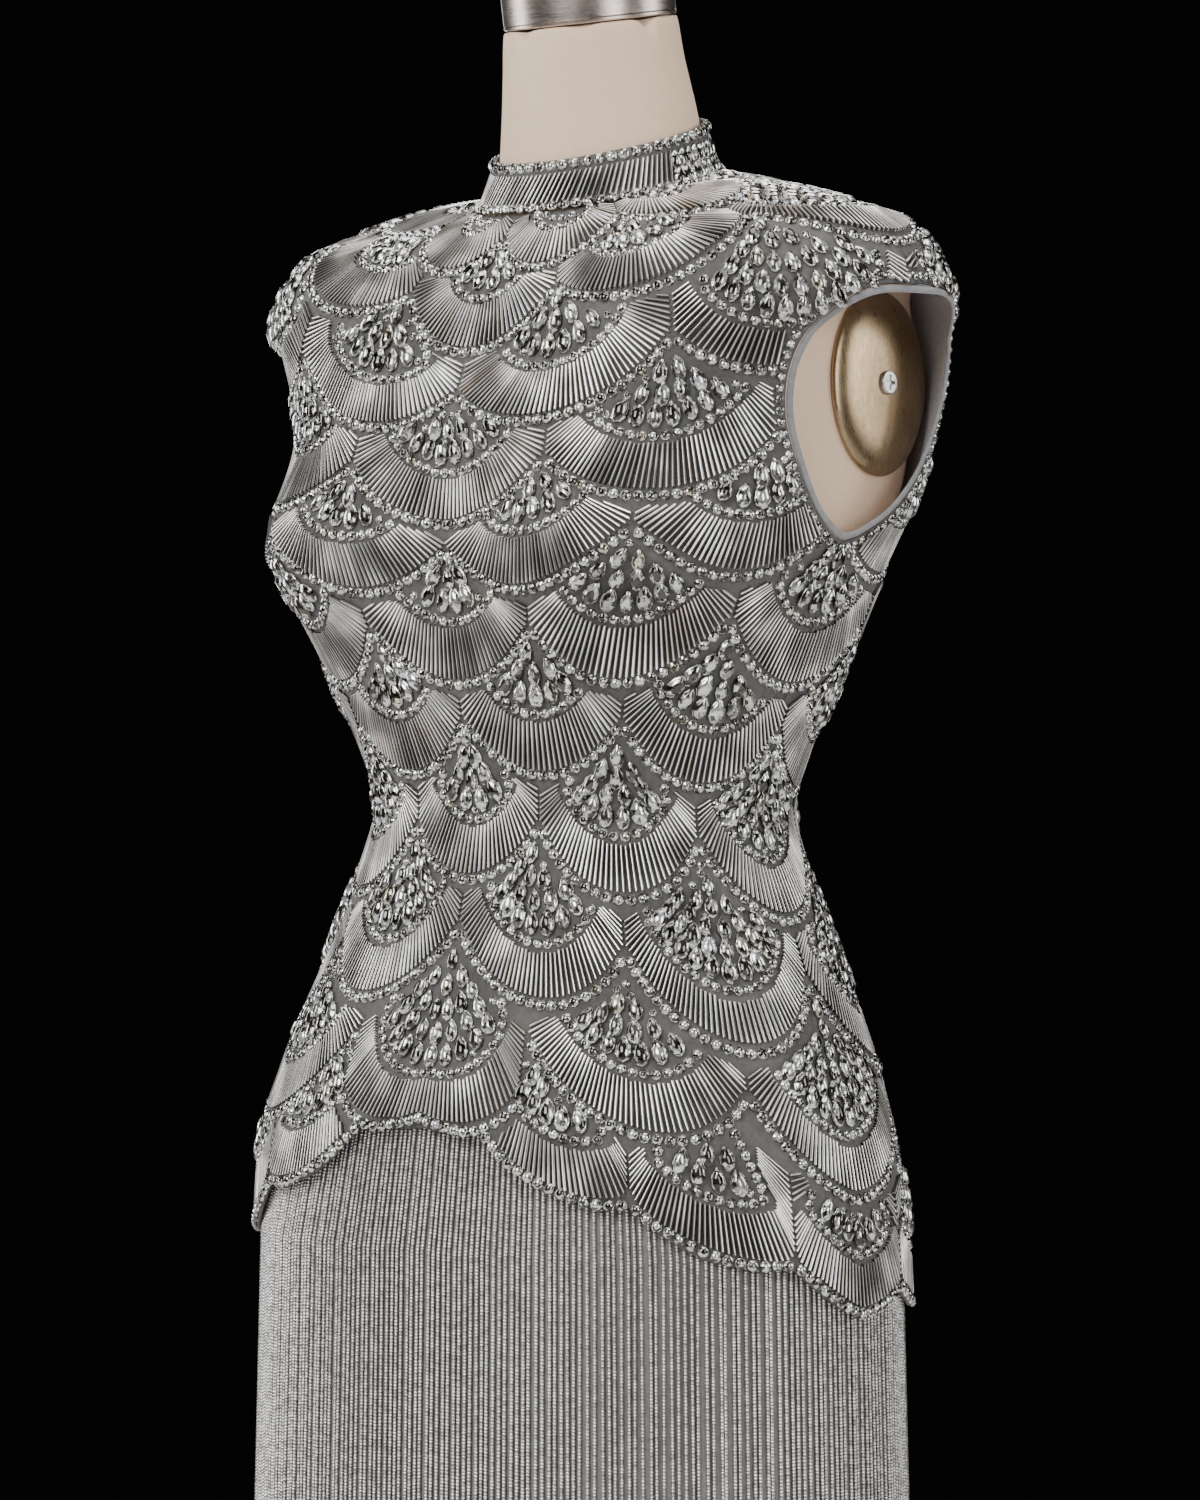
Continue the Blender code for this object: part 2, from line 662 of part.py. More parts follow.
def turned(name, profile, kind, place, steps=40, sharp=40):
    """A solid of revolution about its own Z from (radius, height) pairs that start and end on the axis."""
    bm = bmesh.new()
    verts = [bm.verts.new((radius, 0.0, height)) for radius, height in profile]
    edges = [bm.edges.new(pair) for pair in zip(verts, verts[1:])]
    bmesh.ops.spin(
        bm,
        geom=verts + edges,
        cent=(0, 0, 0),
        axis=(0, 0, 1),
        angle=2 * pi,
        steps=steps,
        use_merge=True,
    )
    bmesh.ops.remove_doubles(bm, verts=bm.verts, dist=1e-5)
    return finish(name, bm, kind, place, sharp)


def rounded_top(radius, height, round_radius, steps=4):
    """A turned profile with a flat foot and a rounded upper edge."""
    profile = [(0.0, 0.0), (radius, 0.0)]
    for k in range(steps + 1):
        turn = pi / 2 * k / steps
        out = radius - round_radius * (1 - cos(turn))
        profile.append((out, height - round_radius * (1 - sin(turn))))
    return profile + [(0.0, height)]


def make_neck_cap():
    """The steel plug on the neck, tilted with its cut."""
    top = NECK_RINGS[-1]
    tilt = atan((top.at_back - top.at_front) / (2 * top.radius))
    foot = (top.at_front + top.at_back) / 2 + SEAM
    place = Matrix.Translation((0.0, top.centre, foot)) @ Matrix.Rotation(tilt, 4, "X")
    profile = rounded_top(NECK_CAP_RADIUS, NECK_CAP_HEIGHT, NECK_CAP_ROUND)
    turned("form_neck_cap", profile, "brushed_steel", place, steps=32)


def make_arm_plate(side, mirror):
    """An oval dished plate on the flat of the arm's end, with its screw."""
    depth, height = PLATE_CENTRE
    outwards = Matrix.Rotation(mirror * pi / 2, 4, "Y")
    plate_place = Matrix.Translation((mirror * (FLAT_SIDE + SEAM), depth, height)) @ outwards
    plate_place = plate_place @ Matrix.Diagonal((PLATE_HALF_HEIGHT, PLATE_HALF_DEPTH, 1.0, 1.0))
    profile = [(0.0, 0.0), (0.96, 0.0), (1.0, 0.0012), (0.97, 0.0034), (0.86, 0.0056), (0.55, PLATE_THICK)]
    profile += [(0.0, PLATE_THICK)]
    plate = turned("arm_plate_" + side, profile, "satin_brass", None, steps=28)
    plate.data.transform(plate_place)
    screw_place = Matrix.Translation((mirror * (FLAT_SIDE + 2 * SEAM + PLATE_THICK), depth, height)) @ outwards
    turned(
        "plate_screw_" + side,
        rounded_top(SCREW_RADIUS, SCREW_HEIGHT, SCREW_ROUND, 2),
        "brushed_steel",
        screw_place,
        steps=12,
    )


def make_stand():
    """A round foot, a socket and a pole up into the form's base."""
    base = rounded_top(BASE_RADIUS, BASE_THICK, BASE_EDGE)
    turned("stand_base", base, "stand_paint", Matrix.Identity(4), steps=48)
    socket_foot = BASE_THICK + SEAM
    socket = rounded_top(SOCKET_RADIUS, SOCKET_HEIGHT, SOCKET_EDGE)
    turned("stand_socket", socket, "stand_paint", Matrix.Translation((0, 0, socket_foot)), steps=20)
    pole_foot = socket_foot + SOCKET_HEIGHT + SEAM
    pole_height = FORM_BOTTOM - SEAM - pole_foot
    pole = [(0.0, 0.0), (POLE_RADIUS, 0.0), (POLE_RADIUS, pole_height), (0.0, pole_height)]
    turned("stand_pole", pole, "brushed_steel", Matrix.Translation((0, 0, pole_foot)), steps=24)


def main():
    """Builds every piece."""
    clear_scene()
    make_torso()
    make_neck_cap()
    make_arm_plate("left", 1)
    make_arm_plate("right", -1)
    make_stand()
    make_bodice()
    make_collar()
    make_binding("armhole_binding_left", 1)
    make_binding("armhole_binding_right", -1)
    make_skirt("skirt_front", 0.0)
    make_skirt("skirt_back", pi)
    make_fringe("fringe_front", 0.0)
    make_fringe("fringe_back", pi)


main()
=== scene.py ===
"""Looks of a beaded tunic dress with a fringed skirt, worn by a limbless dress form.

Metres, +Z up. The dress faces -Y and its own left side is +X. Angles run from the
centre front to the dress's left.
"""

from __future__ import annotations

import json
import logging
import math
from collections.abc import Sequence
from dataclasses import dataclass, field, replace
from enum import Enum

import bmesh
import bpy
import numpy as np
from mathutils import Matrix, Vector

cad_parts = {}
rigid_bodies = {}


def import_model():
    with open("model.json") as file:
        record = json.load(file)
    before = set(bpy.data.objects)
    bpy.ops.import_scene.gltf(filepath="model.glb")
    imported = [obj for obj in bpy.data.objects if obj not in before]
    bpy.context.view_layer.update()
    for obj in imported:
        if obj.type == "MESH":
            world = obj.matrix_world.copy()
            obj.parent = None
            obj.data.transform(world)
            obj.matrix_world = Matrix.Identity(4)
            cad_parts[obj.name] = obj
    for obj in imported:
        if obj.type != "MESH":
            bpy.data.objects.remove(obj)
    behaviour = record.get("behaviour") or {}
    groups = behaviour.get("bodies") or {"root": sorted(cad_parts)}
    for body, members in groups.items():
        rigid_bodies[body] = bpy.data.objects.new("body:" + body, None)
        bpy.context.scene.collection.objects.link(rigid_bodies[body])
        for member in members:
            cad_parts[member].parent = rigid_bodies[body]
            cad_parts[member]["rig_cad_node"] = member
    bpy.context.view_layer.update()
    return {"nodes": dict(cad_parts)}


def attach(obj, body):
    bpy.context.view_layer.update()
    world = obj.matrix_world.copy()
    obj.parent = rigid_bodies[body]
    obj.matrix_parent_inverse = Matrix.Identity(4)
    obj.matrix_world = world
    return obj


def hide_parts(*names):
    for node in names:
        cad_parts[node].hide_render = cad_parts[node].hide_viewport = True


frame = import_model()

Array = np.ndarray
Material = bpy.types.Material
Node = bpy.types.Node
Piece = bpy.types.Object
Socket = bpy.types.NodeSocket
Tree = bpy.types.NodeTree

LOG = logging.getLogger("dress")
BODY = "root"
TURN = 2 * math.pi


class Side(Enum):
    """The front half of the garment, or a back half."""

    FRONT = "front"
    BACK_LEFT = "back_left"
    BACK_RIGHT = "back_right"


class Gem(Enum):
    """The kinds of bead that are sewn on."""

    ROUND = "stones"
    PEAR = "pears"
    BUGLE = "bugles"


# Shapes of the body


# Torso sections: height, half-width before and behind, depth of front and back, centre, square
SECTIONS = np.array(
    [
        (0.230, 0.206, 0.206, 0.147, 0.147, -0.002, 2.3),
        (0.630, 0.1955, 0.1955, 0.137, 0.137, -0.002, 2.3),
        (0.720, 0.193, 0.193, 0.136, 0.136, -0.002, 2.3),
        (0.790, 0.1925, 0.1925, 0.1365, 0.1355, -0.002, 2.3),
        (0.822, 0.190, 0.190, 0.135, 0.133, -0.003, 2.3),
        (0.857, 0.185, 0.185, 0.131, 0.129, -0.004, 2.3),
        (0.885, 0.177, 0.177, 0.124, 0.123, -0.003, 2.3),
        (0.913, 0.167, 0.167, 0.116, 0.116, -0.001, 2.3),
        (0.952, 0.150, 0.150, 0.105, 0.105, 0.001, 2.3),
        (0.975, 0.141, 0.141, 0.099, 0.099, 0.001, 2.3),
        (1.003, 0.129, 0.129, 0.093, 0.093, 0.002, 2.3),
        (1.034, 0.120, 0.120, 0.089, 0.089, 0.003, 2.3),
        (1.055, 0.125, 0.125, 0.091, 0.092, 0.003, 2.3),
        (1.077, 0.134, 0.134, 0.097, 0.097, 0.003, 2.35),
        (1.100, 0.144, 0.144, 0.102, 0.104, 0.003, 2.4),
        (1.130, 0.157, 0.157, 0.108, 0.110, 0.005, 2.45),
        (1.155, 0.166, 0.166, 0.113, 0.112, 0.008, 2.5),
        (1.177, 0.174, 0.174, 0.120, 0.111, 0.012, 2.5),
        (1.200, 0.176, 0.186, 0.125, 0.108, 0.018, 2.5),
        (1.225, 0.178, 0.196, 0.128, 0.105, 0.022, 2.45),
        (1.250, 0.183, 0.205, 0.128, 0.106, 0.023, 2.4),
        (1.275, 0.195, 0.211, 0.124, 0.105, 0.024, 2.4),
        (1.308, 0.213, 0.213, 0.112, 0.102, 0.025, 2.35),
    ]
)

# Shoulder rings: height at front, side and back; softness; half-width, front, back, centre, square
SHOULDER_RINGS = [
    (1.3555, 1.3718, 1.3880, 1.0, 0.0665, 0.0660, 0.0650, 0.0170, 2.0),
    (1.3360, 1.3705, 1.3850, 1.3, 0.1020, 0.0840, 0.0790, 0.0190, 2.0),
    (1.3120, 1.3603, 1.3725, 1.6, 0.1460, 0.1010, 0.0920, 0.0220, 2.2),
    (1.2880, 1.3470, 1.3450, 1.8, 0.1890, 0.1130, 0.1010, 0.0240, 2.3),
    (1.2650, 1.3120, 1.3080, 2.0, 0.2130, 0.1215, 0.1030, 0.0250, 2.35),
]

# Body rings: height at front, side and back
BODY_RINGS = [
    (1.246, 1.288, 1.284),
    (1.228, 1.264, 1.260),
    (1.210, 1.240, 1.236),
    (1.193, 1.216, 1.208),
    (1.176, 1.195, 1.188),
    (1.160, 1.177, 1.171),
    (1.138, 1.151, 1.147),
    (1.114, 1.122, 1.120),
    (1.088, 1.093, 1.092),
    (1.062, 1.063, 1.063),
    (1.036, 1.034, 1.034),
    (1.010, 1.004, 1.003),
    (0.984, 0.973, 0.972),
    (0.960, 0.942, 0.940),
    (0.938, 0.910, 0.907),
    (0.918, 0.877, 0.873),
    (0.900, 0.843, 0.838),
    (0.887, 0.810, 0.803),
    (0.874, 0.780, 0.772),
]
HEM_RING = len(SHOULDER_RINGS) + len(BODY_RINGS) - 1
RING_STEP = 0.024  # how far apart two rings are near the armholes


@dataclass
class TorsoShape:
    """The tunic's inner surface by ring and angle, the same as the solid's.

    Attributes:
        samples: how many angles each stored ring holds.
        bust_rise: how far the bust stands out.
        bust_angle: the bust's angle from the centre front.
        bust_spread: the bust's width as an angle.
        bust_height: the height of the bust's middle.
        bust_tall: how tall the bust is.
        angles: the stored angles.
        rings: the points of each whole-numbered ring at those angles.
    """

    samples: int = 721
    bust_rise: float = 0.026
    bust_angle: float = math.radians(41)
    bust_spread: float = math.radians(25)
    bust_height: float = 1.176
    bust_tall: float = 0.046
    angles: Array = field(init=False)
    rings: Array = field(init=False)

    def __post_init__(self) -> None:
        """Stores every whole-numbered ring once."""
        self.angles = np.linspace(-math.pi, math.pi, self.samples)
        self.rings = np.stack([self._ring(k) for k in range(HEM_RING + 1)])

    @staticmethod
    def _reach(wide: Array, deep: Array, square: Array, angle: Array) -> Array:
        """The radius of a squared ellipse at each angle from its deep side."""
        across = np.abs(np.sin(angle)) / wide
        along = np.abs(np.cos(angle)) / deep
        return (across**square + along**square) ** (-1.0 / square)

    @staticmethod
    def section(height: Array) -> Array:
        """The section's values at each height, by a smooth cubic through the table."""
        levels = SECTIONS[:, 0]
        last = len(levels) - 1
        low = np.clip(np.searchsorted(levels, height, side="right") - 1, 0, last - 1)
        before = np.maximum(low - 1, 0)
        after = np.minimum(low + 2, last)
        span = levels[low + 1] - levels[low]
        share = np.clip((height - levels[low]) / span, 0, 1)[:, None]
        start, end = SECTIONS[low], SECTIONS[low + 1]
        slope_in = (end - SECTIONS[before]) / (levels[low + 1] - levels[before])[:, None] * span[:, None]
        slope_out = (SECTIONS[after] - start) / (levels[after] - levels[low])[:, None] * span[:, None]
        return (
            (2 * share**3 - 3 * share**2 + 1) * start
            + (share**3 - 2 * share**2 + share) * slope_in
            + (3 * share**2 - 2 * share**3) * end
            + (share**3 - share**2) * slope_out
        )

    def torso(self, angle: Array, height: Array) -> Array:
        """Points of the torso below the shoulders.

        Args:
            angle: angles from the centre front.
            height: heights above the floor.

        Returns:
            An array of points, one a row.
        """
        height = np.broadcast_to(np.asarray(height, float), angle.shape)
        row = self.section(height)
        front = np.cos(angle) > 0
        wide = np.where(front, row[:, 1], row[:, 2])
        deep = np.where(front, row[:, 3], row[:, 4])
        across = (np.abs((angle + math.pi) % TURN - math.pi) - self.bust_angle) / self.bust_spread
        up = (height - self.bust_height) / self.bust_tall
        radius = self._reach(wide, deep, row[:, 6], angle) + self.bust_rise * np.exp(-(across**2) - up**2)
        return np.stack([radius * np.sin(angle), row[:, 5] - radius * np.cos(angle), height], axis=1)

    @staticmethod
    def _tilted(heights: Sequence[float], angle: Array, softness: float, pointed: float) -> Array:
        """The height of a ring at each angle, from its heights at the front, side and back."""
        facing = np.cos(angle)
        soft = np.abs(facing) ** softness
        turned = np.abs(np.arctan2(np.sin(angle), facing)) / (math.pi / 2)
        straight = np.where(facing > 0, np.maximum(1 - turned, 0), soft)
        share = pointed * straight + (1 - pointed) * soft
        at_end = np.where(facing > 0, heights[0], heights[2])
        return heights[1] + (at_end - heights[1]) * share

    def _ring(self, index: int) -> Array:
        """The points of one whole-numbered ring."""
        angle = self.angles
        if index < len(SHOULDER_RINGS):
            front, side, back, soft, wide, ahead, behind, centre, square = SHOULDER_RINGS[index]
            height = self._tilted((front, side, back), angle, soft, 0.0)
            deep = np.where(np.cos(angle) > 0, ahead, behind)
            radius = self._reach(np.full_like(angle, wide), deep, np.full_like(angle, square), angle)
            return np.stack([radius * np.sin(angle), centre - radius * np.cos(angle), height], axis=1)
        row = index - len(SHOULDER_RINGS)
        height = self._tilted(BODY_RINGS[row], angle, 2.0, row / (len(BODY_RINGS) - 1))
        return self.torso(angle, height)

    def point(self, ring: Array, angle: Array) -> Array:
        """Points of the surface, also just past the hem.

        Args:
            ring: ring numbers, whole or between.
            angle: angles from the centre front.

        Returns:
            An array of points, one a row.
        """
        ring, angle = np.broadcast_arrays(np.asarray(ring, float), np.asarray(angle, float))
        past = np.maximum(ring - HEM_RING, 0)[:, None]
        inside = np.clip(ring, 0, HEM_RING)
        low = np.clip(inside.astype(int), 0, HEM_RING - 1)
        share = (inside - low)[:, None]
        place = ((angle + math.pi) % TURN) / TURN * (self.samples - 1)
        left = np.clip(place.astype(int), 0, self.samples - 2)
        turn = (place - left)[:, None]

        def at(index: Array) -> Array:
            """The points of whole-numbered rings at the angles."""
            index = np.clip(index, 0, HEM_RING)
            return self.rings[index, left] * (1 - turn) + self.rings[index, left + 1] * turn

        before, start, end, after = at(low - 1), at(low), at(low + 1), at(low + 2)
        on_surface = (
            start
            + 0.5 * share * (end - before)
            + share**2 * (before - 2.5 * start + 2.0 * end - 0.5 * after)
            + share**3 * (1.5 * start - 1.5 * end + 0.5 * after - 0.5 * before)
        )
        hem, above = at(np.full_like(low, HEM_RING)), at(np.full_like(low, HEM_RING - 1))
        return on_surface + past * (hem - above)

    def outward(self, ring: Array, angle: Array) -> Array:
        """The outward directions at points of the surface."""
        step = 0.02
        ring, angle = np.broadcast_arrays(np.asarray(ring, float), np.asarray(angle, float))
        ring = np.clip(ring, step, HEM_RING - step)
        along = self.point(ring, angle + step) - self.point(ring, angle - step)
        down = self.point(ring + step, angle) - self.point(ring - step, angle)
        facing = np.cross(along, down)
        guide = np.stack([np.sin(angle), -np.cos(angle), np.full_like(angle, 0.2)], axis=1)
        facing *= np.sign((facing * guide).sum(axis=1))[:, None]
        return facing / np.linalg.norm(facing, axis=1)[:, None]

    def even(self, ring: float) -> Array:
        """How far round each stored angle is along a ring, as a share of its whole length."""
        lengths = walked(self.point(np.full(self.samples, ring), self.angles))
        return lengths / lengths[-1]

    def above_hem(self, angle: Array, distance: Array) -> Array:
        """The ring that is its distance up the surface from the hem, at each angle."""
        found = []
        rows = np.arange(HEM_RING, HEM_RING - 8, -1, dtype=float)
        for one, rise in zip(angle, distance):
            lengths = walked(self.point(rows, np.full(len(rows), one)))
            found.append(np.interp(rise, lengths, rows))
        return np.array(found)


@dataclass
class Armholes:
    """Where the armholes open the tunic.

    Attributes:
        shape: the tunic's surface.
        half_depth: half the opening's greatest width, front to back.
        upper_curve: how quickly it widens from its upper end.
        lower_curve: how quickly it widens from its lower end.
        forward: how far its middle is before the side line.
        top: the ring of its upper end.
        bottom: the ring of its lower end.
        seam: the gap between two panels.
    """

    shape: TorsoShape
    half_depth: float = 0.058
    upper_curve: float = 0.22
    lower_curve: float = 0.60
    forward: float = 0.004
    top: float = 4.0
    bottom: float = 10.0
    seam: float = 0.0003

    def half(self, ring: Array | float) -> Array:
        """Half the opening's width at a ring, 0 above and below it."""
        share = np.clip((np.asarray(ring, float) - self.top) / (self.bottom - self.top), 0, 1)
        fullest = self.upper_curve / (self.upper_curve + self.lower_curve)
        full = fullest**self.upper_curve * (1 - fullest) ** self.lower_curve
        return self.half_depth * share**self.upper_curve * (1 - share) ** self.lower_curve / full

    def edge(self, ring: float, facing: int, outset: float = 0.0) -> float:
        """The angle of a panel's side edge.

        Args:
            ring: the ring number.
            facing: -1 for the front panel and 1 for the back ones.
            outset: a distance away from the opening.

        Returns:
            The angle from the centre front.
        """
        angles = np.linspace(math.radians(15), math.radians(165), 601)
        across = self.shape.point(np.full(601, ring), angles)[:, 1]
        centre = float(self.shape.point(np.array([ring]), np.array([math.pi / 2]))[0, 1]) - self.forward
        target = centre + facing * (float(self.half(ring)) + self.seam / 2 + outset)
        return float(np.interp(target, across, angles))

    def inside(self, ring: Array, angle: Array, margin: float) -> Array:
        """Whether points lie in an opening or within a margin of its edge."""
        half = self.half(ring)
        points = self.shape.point(ring, angle)
        centre = self.shape.point(ring, np.full_like(angle, math.pi / 2))[:, 1] - self.forward
        near = np.abs(points[:, 1] - centre) < half + margin
        at_side = np.abs(np.sin(angle)) > 0.5
        reach = margin / RING_STEP
        in_rows = (ring > self.top - reach) & (ring < self.bottom + reach)
        return near & at_side & in_rows


# Making meshes


def walked(points: Array) -> Array:
    """How far along a line each of its points lies."""
    steps = np.linalg.norm(np.diff(points, axis=0), axis=1)
    return np.concatenate([[0], np.cumsum(steps)])


def store(name: str, bm: bmesh.types.BMesh, smooth: bool = True) -> Piece:
    """Turns a bmesh into an object at the origin.

    Args:
        name: the piece's name.
        bm: the bmesh, which is freed.
        smooth: whether its faces are shaded smooth.

    Returns:
        The new object.
    """
    mesh = bpy.data.meshes.new(name)
    bm.to_mesh(mesh)
    bm.free()
    if smooth:
        mesh.shade_smooth()
    made = bpy.data.objects.new(name, mesh)
    bpy.context.scene.collection.objects.link(made)
    return made


def grid_sheet(name: str, points: Array, thick: float) -> Piece:
    """A cloth wall on a grid of points, thickened outwards.

    Args:
        name: the piece's name.
        points: the inner face's points, as an array of rows, columns and coordinates.
        thick: the wall's thickness.

    Returns:
        The sheet, with its own UV map in metres on the cloth.
    """
    bm = bmesh.new()
    rows, columns = points.shape[0] - 1, points.shape[1] - 1
    bmesh.ops.create_grid(bm, x_segments=columns, y_segments=rows, size=1.0)
    cells: dict[bmesh.types.BMVert, tuple[int, int]] = {}
    for vert in bm.verts:
        cells[vert] = (round((vert.co.y + 1) / 2 * rows), round((vert.co.x + 1) / 2 * columns))
    across = np.linalg.norm(np.diff(points, axis=1), axis=2).mean(axis=1).mean()
    along = np.linalg.norm(np.diff(points, axis=0), axis=2).mean()
    laid = bm.loops.layers.uv.new("cloth")
    for face in bm.faces:
        for loop in face.loops:
            row, column = cells[loop.vert]
            loop[laid].uv = (column * across, row * along)
    for vert, (row, column) in cells.items():
        vert.co = points[row, column]
    bm.normal_update()
    middle = points.reshape(-1, 3).mean(axis=0)
    centre = Vector((0.0, 0.0, float(middle[2])))
    lean = sum(face.normal.dot(face.calc_center_median() - centre) for face in bm.faces)
    if lean < 0:
        bmesh.ops.reverse_faces(bm, faces=bm.faces)
    made = store(name, bm)
    wall = made.modifiers.new("wall", "SOLIDIFY")
    wall.thickness = thick
    wall.offset = 1.0
    wall.use_even_offset = True
    return made


def joined_mesh(
    name: str,
    points: Array,
    faces: Sequence[tuple[int, ...]],
    slots: Sequence[int] = (),
) -> bpy.types.Mesh:
    """Copies of one form as a single mesh.

    Args:
        name: the mesh's name.
        points: every copy's points, as an array of copies, points and coordinates.
        faces: one copy's faces as tuples of point numbers.
        slots: the material slot of each of its faces.

    Returns:
        The new mesh.
    """
    count, size = points.shape[:2]
    corners = np.concatenate([np.array(face) for face in faces])
    loops = (corners[None, :] + np.arange(count)[:, None] * size).reshape(-1)
    totals = np.tile([len(face) for face in faces], count)
    starts = np.concatenate([[0], np.cumsum(totals)[:-1]])
    mesh = bpy.data.meshes.new(name)
    mesh.vertices.add(count * size)
    mesh.vertices.foreach_set("co", points.reshape(-1).astype(np.float32))
    mesh.loops.add(len(loops))
    mesh.loops.foreach_set("vertex_index", loops.astype(np.int32))
    mesh.polygons.add(len(totals))
    mesh.polygons.foreach_set("loop_start", starts.astype(np.int32))
    if slots:
        mesh.polygons.foreach_set("material_index", np.tile(slots, count).astype(np.int32))
    mesh.update(calc_edges=True)
    mesh.validate()
    return mesh


@dataclass(frozen=True)
class BeadShape:
    """A bead's mesh, kept as arrays so that it can be joined many times.

    Attributes:
        points: its points; +Z is away from the cloth and +Y runs along it.
        faces: its faces as tuples of point numbers.
        slots: the material slot of each face.
    """

    points: Array
    faces: list[tuple[int, ...]]
    slots: list[int]

    @staticmethod
    def of(bm: bmesh.types.BMesh) -> BeadShape:
        """Reads a bmesh, and frees it. Its faces are sorted, so that each run gives the same order."""
        bmesh.ops.recalc_face_normals(bm, faces=bm.faces)
        bm.verts.index_update()
        points = np.array([vert.co[:] for vert in bm.verts])
        read = []
        for face in bm.faces:
            corners = [vert.index for vert in face.verts]
            start = corners.index(min(corners))
            read.append((tuple(corners[start:] + corners[:start]), face.material_index))
        bm.free()
        read.sort()
        return BeadShape(points, [face for face, _ in read], [slot for _, slot in read])


def round_stone(sides: int = 8) -> BeadShape:
    """A round foiled stone in a low cup, one metre across: table, crown and cup."""
    bm = bmesh.new()
    bmesh.ops.create_circle(bm, cap_ends=True, segments=sides, radius=0.5)
    cup = bm.faces[:]
    for radius, height, slot in ((0.5, 0.20, 1), (0.43, 0.24, 1), (0.25, 0.42, 0)):
        grown = bmesh.ops.extrude_face_region(bm, geom=cup)
        cup = [piece for piece in grown["geom"] if isinstance(piece, bmesh.types.BMFace)]
        for vert in {vert for face in cup for vert in face.verts}:
            flat = Vector((vert.co.x, vert.co.y, 0)).normalized() * radius
            vert.co = Vector((flat.x, flat.y, height))
        for face in bm.faces:
            if slot and face.material_index == 0:
                face.material_index = slot
    for face in bm.faces:
        face.material_index = 0 if face.calc_center_median().z > 0.27 else 1
    low = [face for face in bm.faces if all(vert.co.z < 1e-6 for vert in face.verts)]
    bmesh.ops.delete(bm, geom=low, context="FACES_ONLY")
    return BeadShape.of(bm)


def pear_stone(sides: int = 10) -> BeadShape:
    """A pear stone one metre long along Y, its point at +Y, in a low cup."""
    bm = bmesh.new()
    bmesh.ops.create_circle(bm, cap_ends=True, segments=sides, radius=0.5)

    def outline(turn: float, share: float, height: float) -> Vector:
        """A point of the pear's outline, shrunk towards its middle."""
        along = math.cos(turn)
        wide = 0.31 * math.sin(turn) * (1.0 - 0.55 * max(along, 0.0) ** 1.5)
        return Vector((wide * share, 0.5 * along * share, height))

    turns = {vert: math.atan2(vert.co.x, vert.co.y) for vert in bm.verts}
    for vert, turn in turns.items():
        vert.co = outline(turn, 1.0, 0.0)
    top = bm.faces[:]
    for share, height in ((1.0, 0.12), (0.88, 0.14), (0.52, 0.27)):
        grown = bmesh.ops.extrude_face_region(bm, geom=top)
        top = [piece for piece in grown["geom"] if isinstance(piece, bmesh.types.BMFace)]
        for vert in {vert for face in top for vert in face.verts}:
            turn = min(turns.items(), key=lambda pair: (pair[0].co.xy - vert.co.xy).length)[1]
            turns[vert] = turn
            vert.co = outline(turn, share, height)
    for face in bm.faces:
        face.material_index = 0 if face.calc_center_median().z > 0.16 else 1
    low = [face for face in bm.faces if all(vert.co.z < 1e-6 for vert in face.verts)]
    bmesh.ops.delete(bm, geom=low, context="FACES_ONLY")
    return BeadShape.of(bm)


def bugle_tube(sides: int = 6) -> BeadShape:
    """A bugle bead one metre long along Y and one across, with closed ends."""
    bm = bmesh.new()
    turn = Matrix.Rotation(math.pi / 2, 4, "X")
    bmesh.ops.create_cone(
        bm,
        cap_ends=True,
        segments=sides,
        radius1=0.5,
        radius2=0.5,
        depth=1.0,
        matrix=turn,
    )
    return BeadShape.of(bm)


@dataclass
class BeadSet:
    """Beads of one shape, gathered and then joined into one mesh.

    Attributes:
        shape: the bead's mesh.
        smooth: whether its faces are shaded smooth.
        places: each bead's frame, foot and size, in the arrays added so far.
    """

    shape: BeadShape
    smooth: bool = False
    places: list[Array] = field(default_factory=list)

    def add(self, at: Array, along: Array, out: Array, size: Sequence[float] | Array) -> None:
        """Adds beads.

        Args:
            at: their feet, one a row.
            along: the direction of each bead's +Y.
            out: the direction away from the cloth.
            size: width, length and height, for all or for each.
        """
        if not len(at):
            return
        out = out / np.linalg.norm(out, axis=1)[:, None]
        along = along - out * (along * out).sum(axis=1)[:, None]
        along = along / np.linalg.norm(along, axis=1)[:, None]
        across = np.cross(along, out)
        sizes = np.broadcast_to(np.asarray(size, float), (len(at), 3))
        self.places.append(np.concatenate([across, along, out, at, sizes], axis=1))

    def build(self, name: str, seed: int) -> Piece:
        """Joins the beads into one mesh with a random tone for each.

        Args:
            name: the piece's name.
            seed: the seed of the tones.

        Returns:
            The new object.
        """
        places = np.concatenate(self.places)
        count = len(places)
        shape = self.shape
        scaled = shape.points[None, :, :] * places[:, None, 12:15]
        frames = places[:, :9].reshape(count, 3, 3)
        points = np.einsum("npk,nkc->npc", scaled, frames) + places[:, None, 9:12]
        mesh = joined_mesh(name, points, shape.faces, shape.slots)
        tones = np.random.default_rng(seed).random((count, 3))
        shades = np.ones((count, len(shape.points), 4), np.float32)
        shades[:, :, :3] = tones[:, None, :]
        # The alpha holds each point's place across the bead, from which the bugle finish paints its shade
        # and highlight.
        shades[:, :, 3] = shape.points[None, :, 0] + 0.5
        layer = mesh.attributes.new("tone", "FLOAT_COLOR", "POINT")
        layer.data.foreach_set("color", shades.reshape(-1))
        # A random value for each face, which the crystal finish turns into painted facet reflections.
        facets = mesh.attributes.new("facet", "FLOAT", "FACE")
        lots = np.random.default_rng(seed + 1).random(count * len(shape.faces))
        facets.data.foreach_set("value", lots.astype(np.float32))
        if self.smooth:
            mesh.shade_smooth()
            mesh.set_sharp_from_angle(angle=math.radians(65))
        made = bpy.data.objects.new(name, mesh)
        bpy.context.scene.collection.objects.link(made)
        LOG.info("%s: %d beads", name, count)
        return made


# Finishes

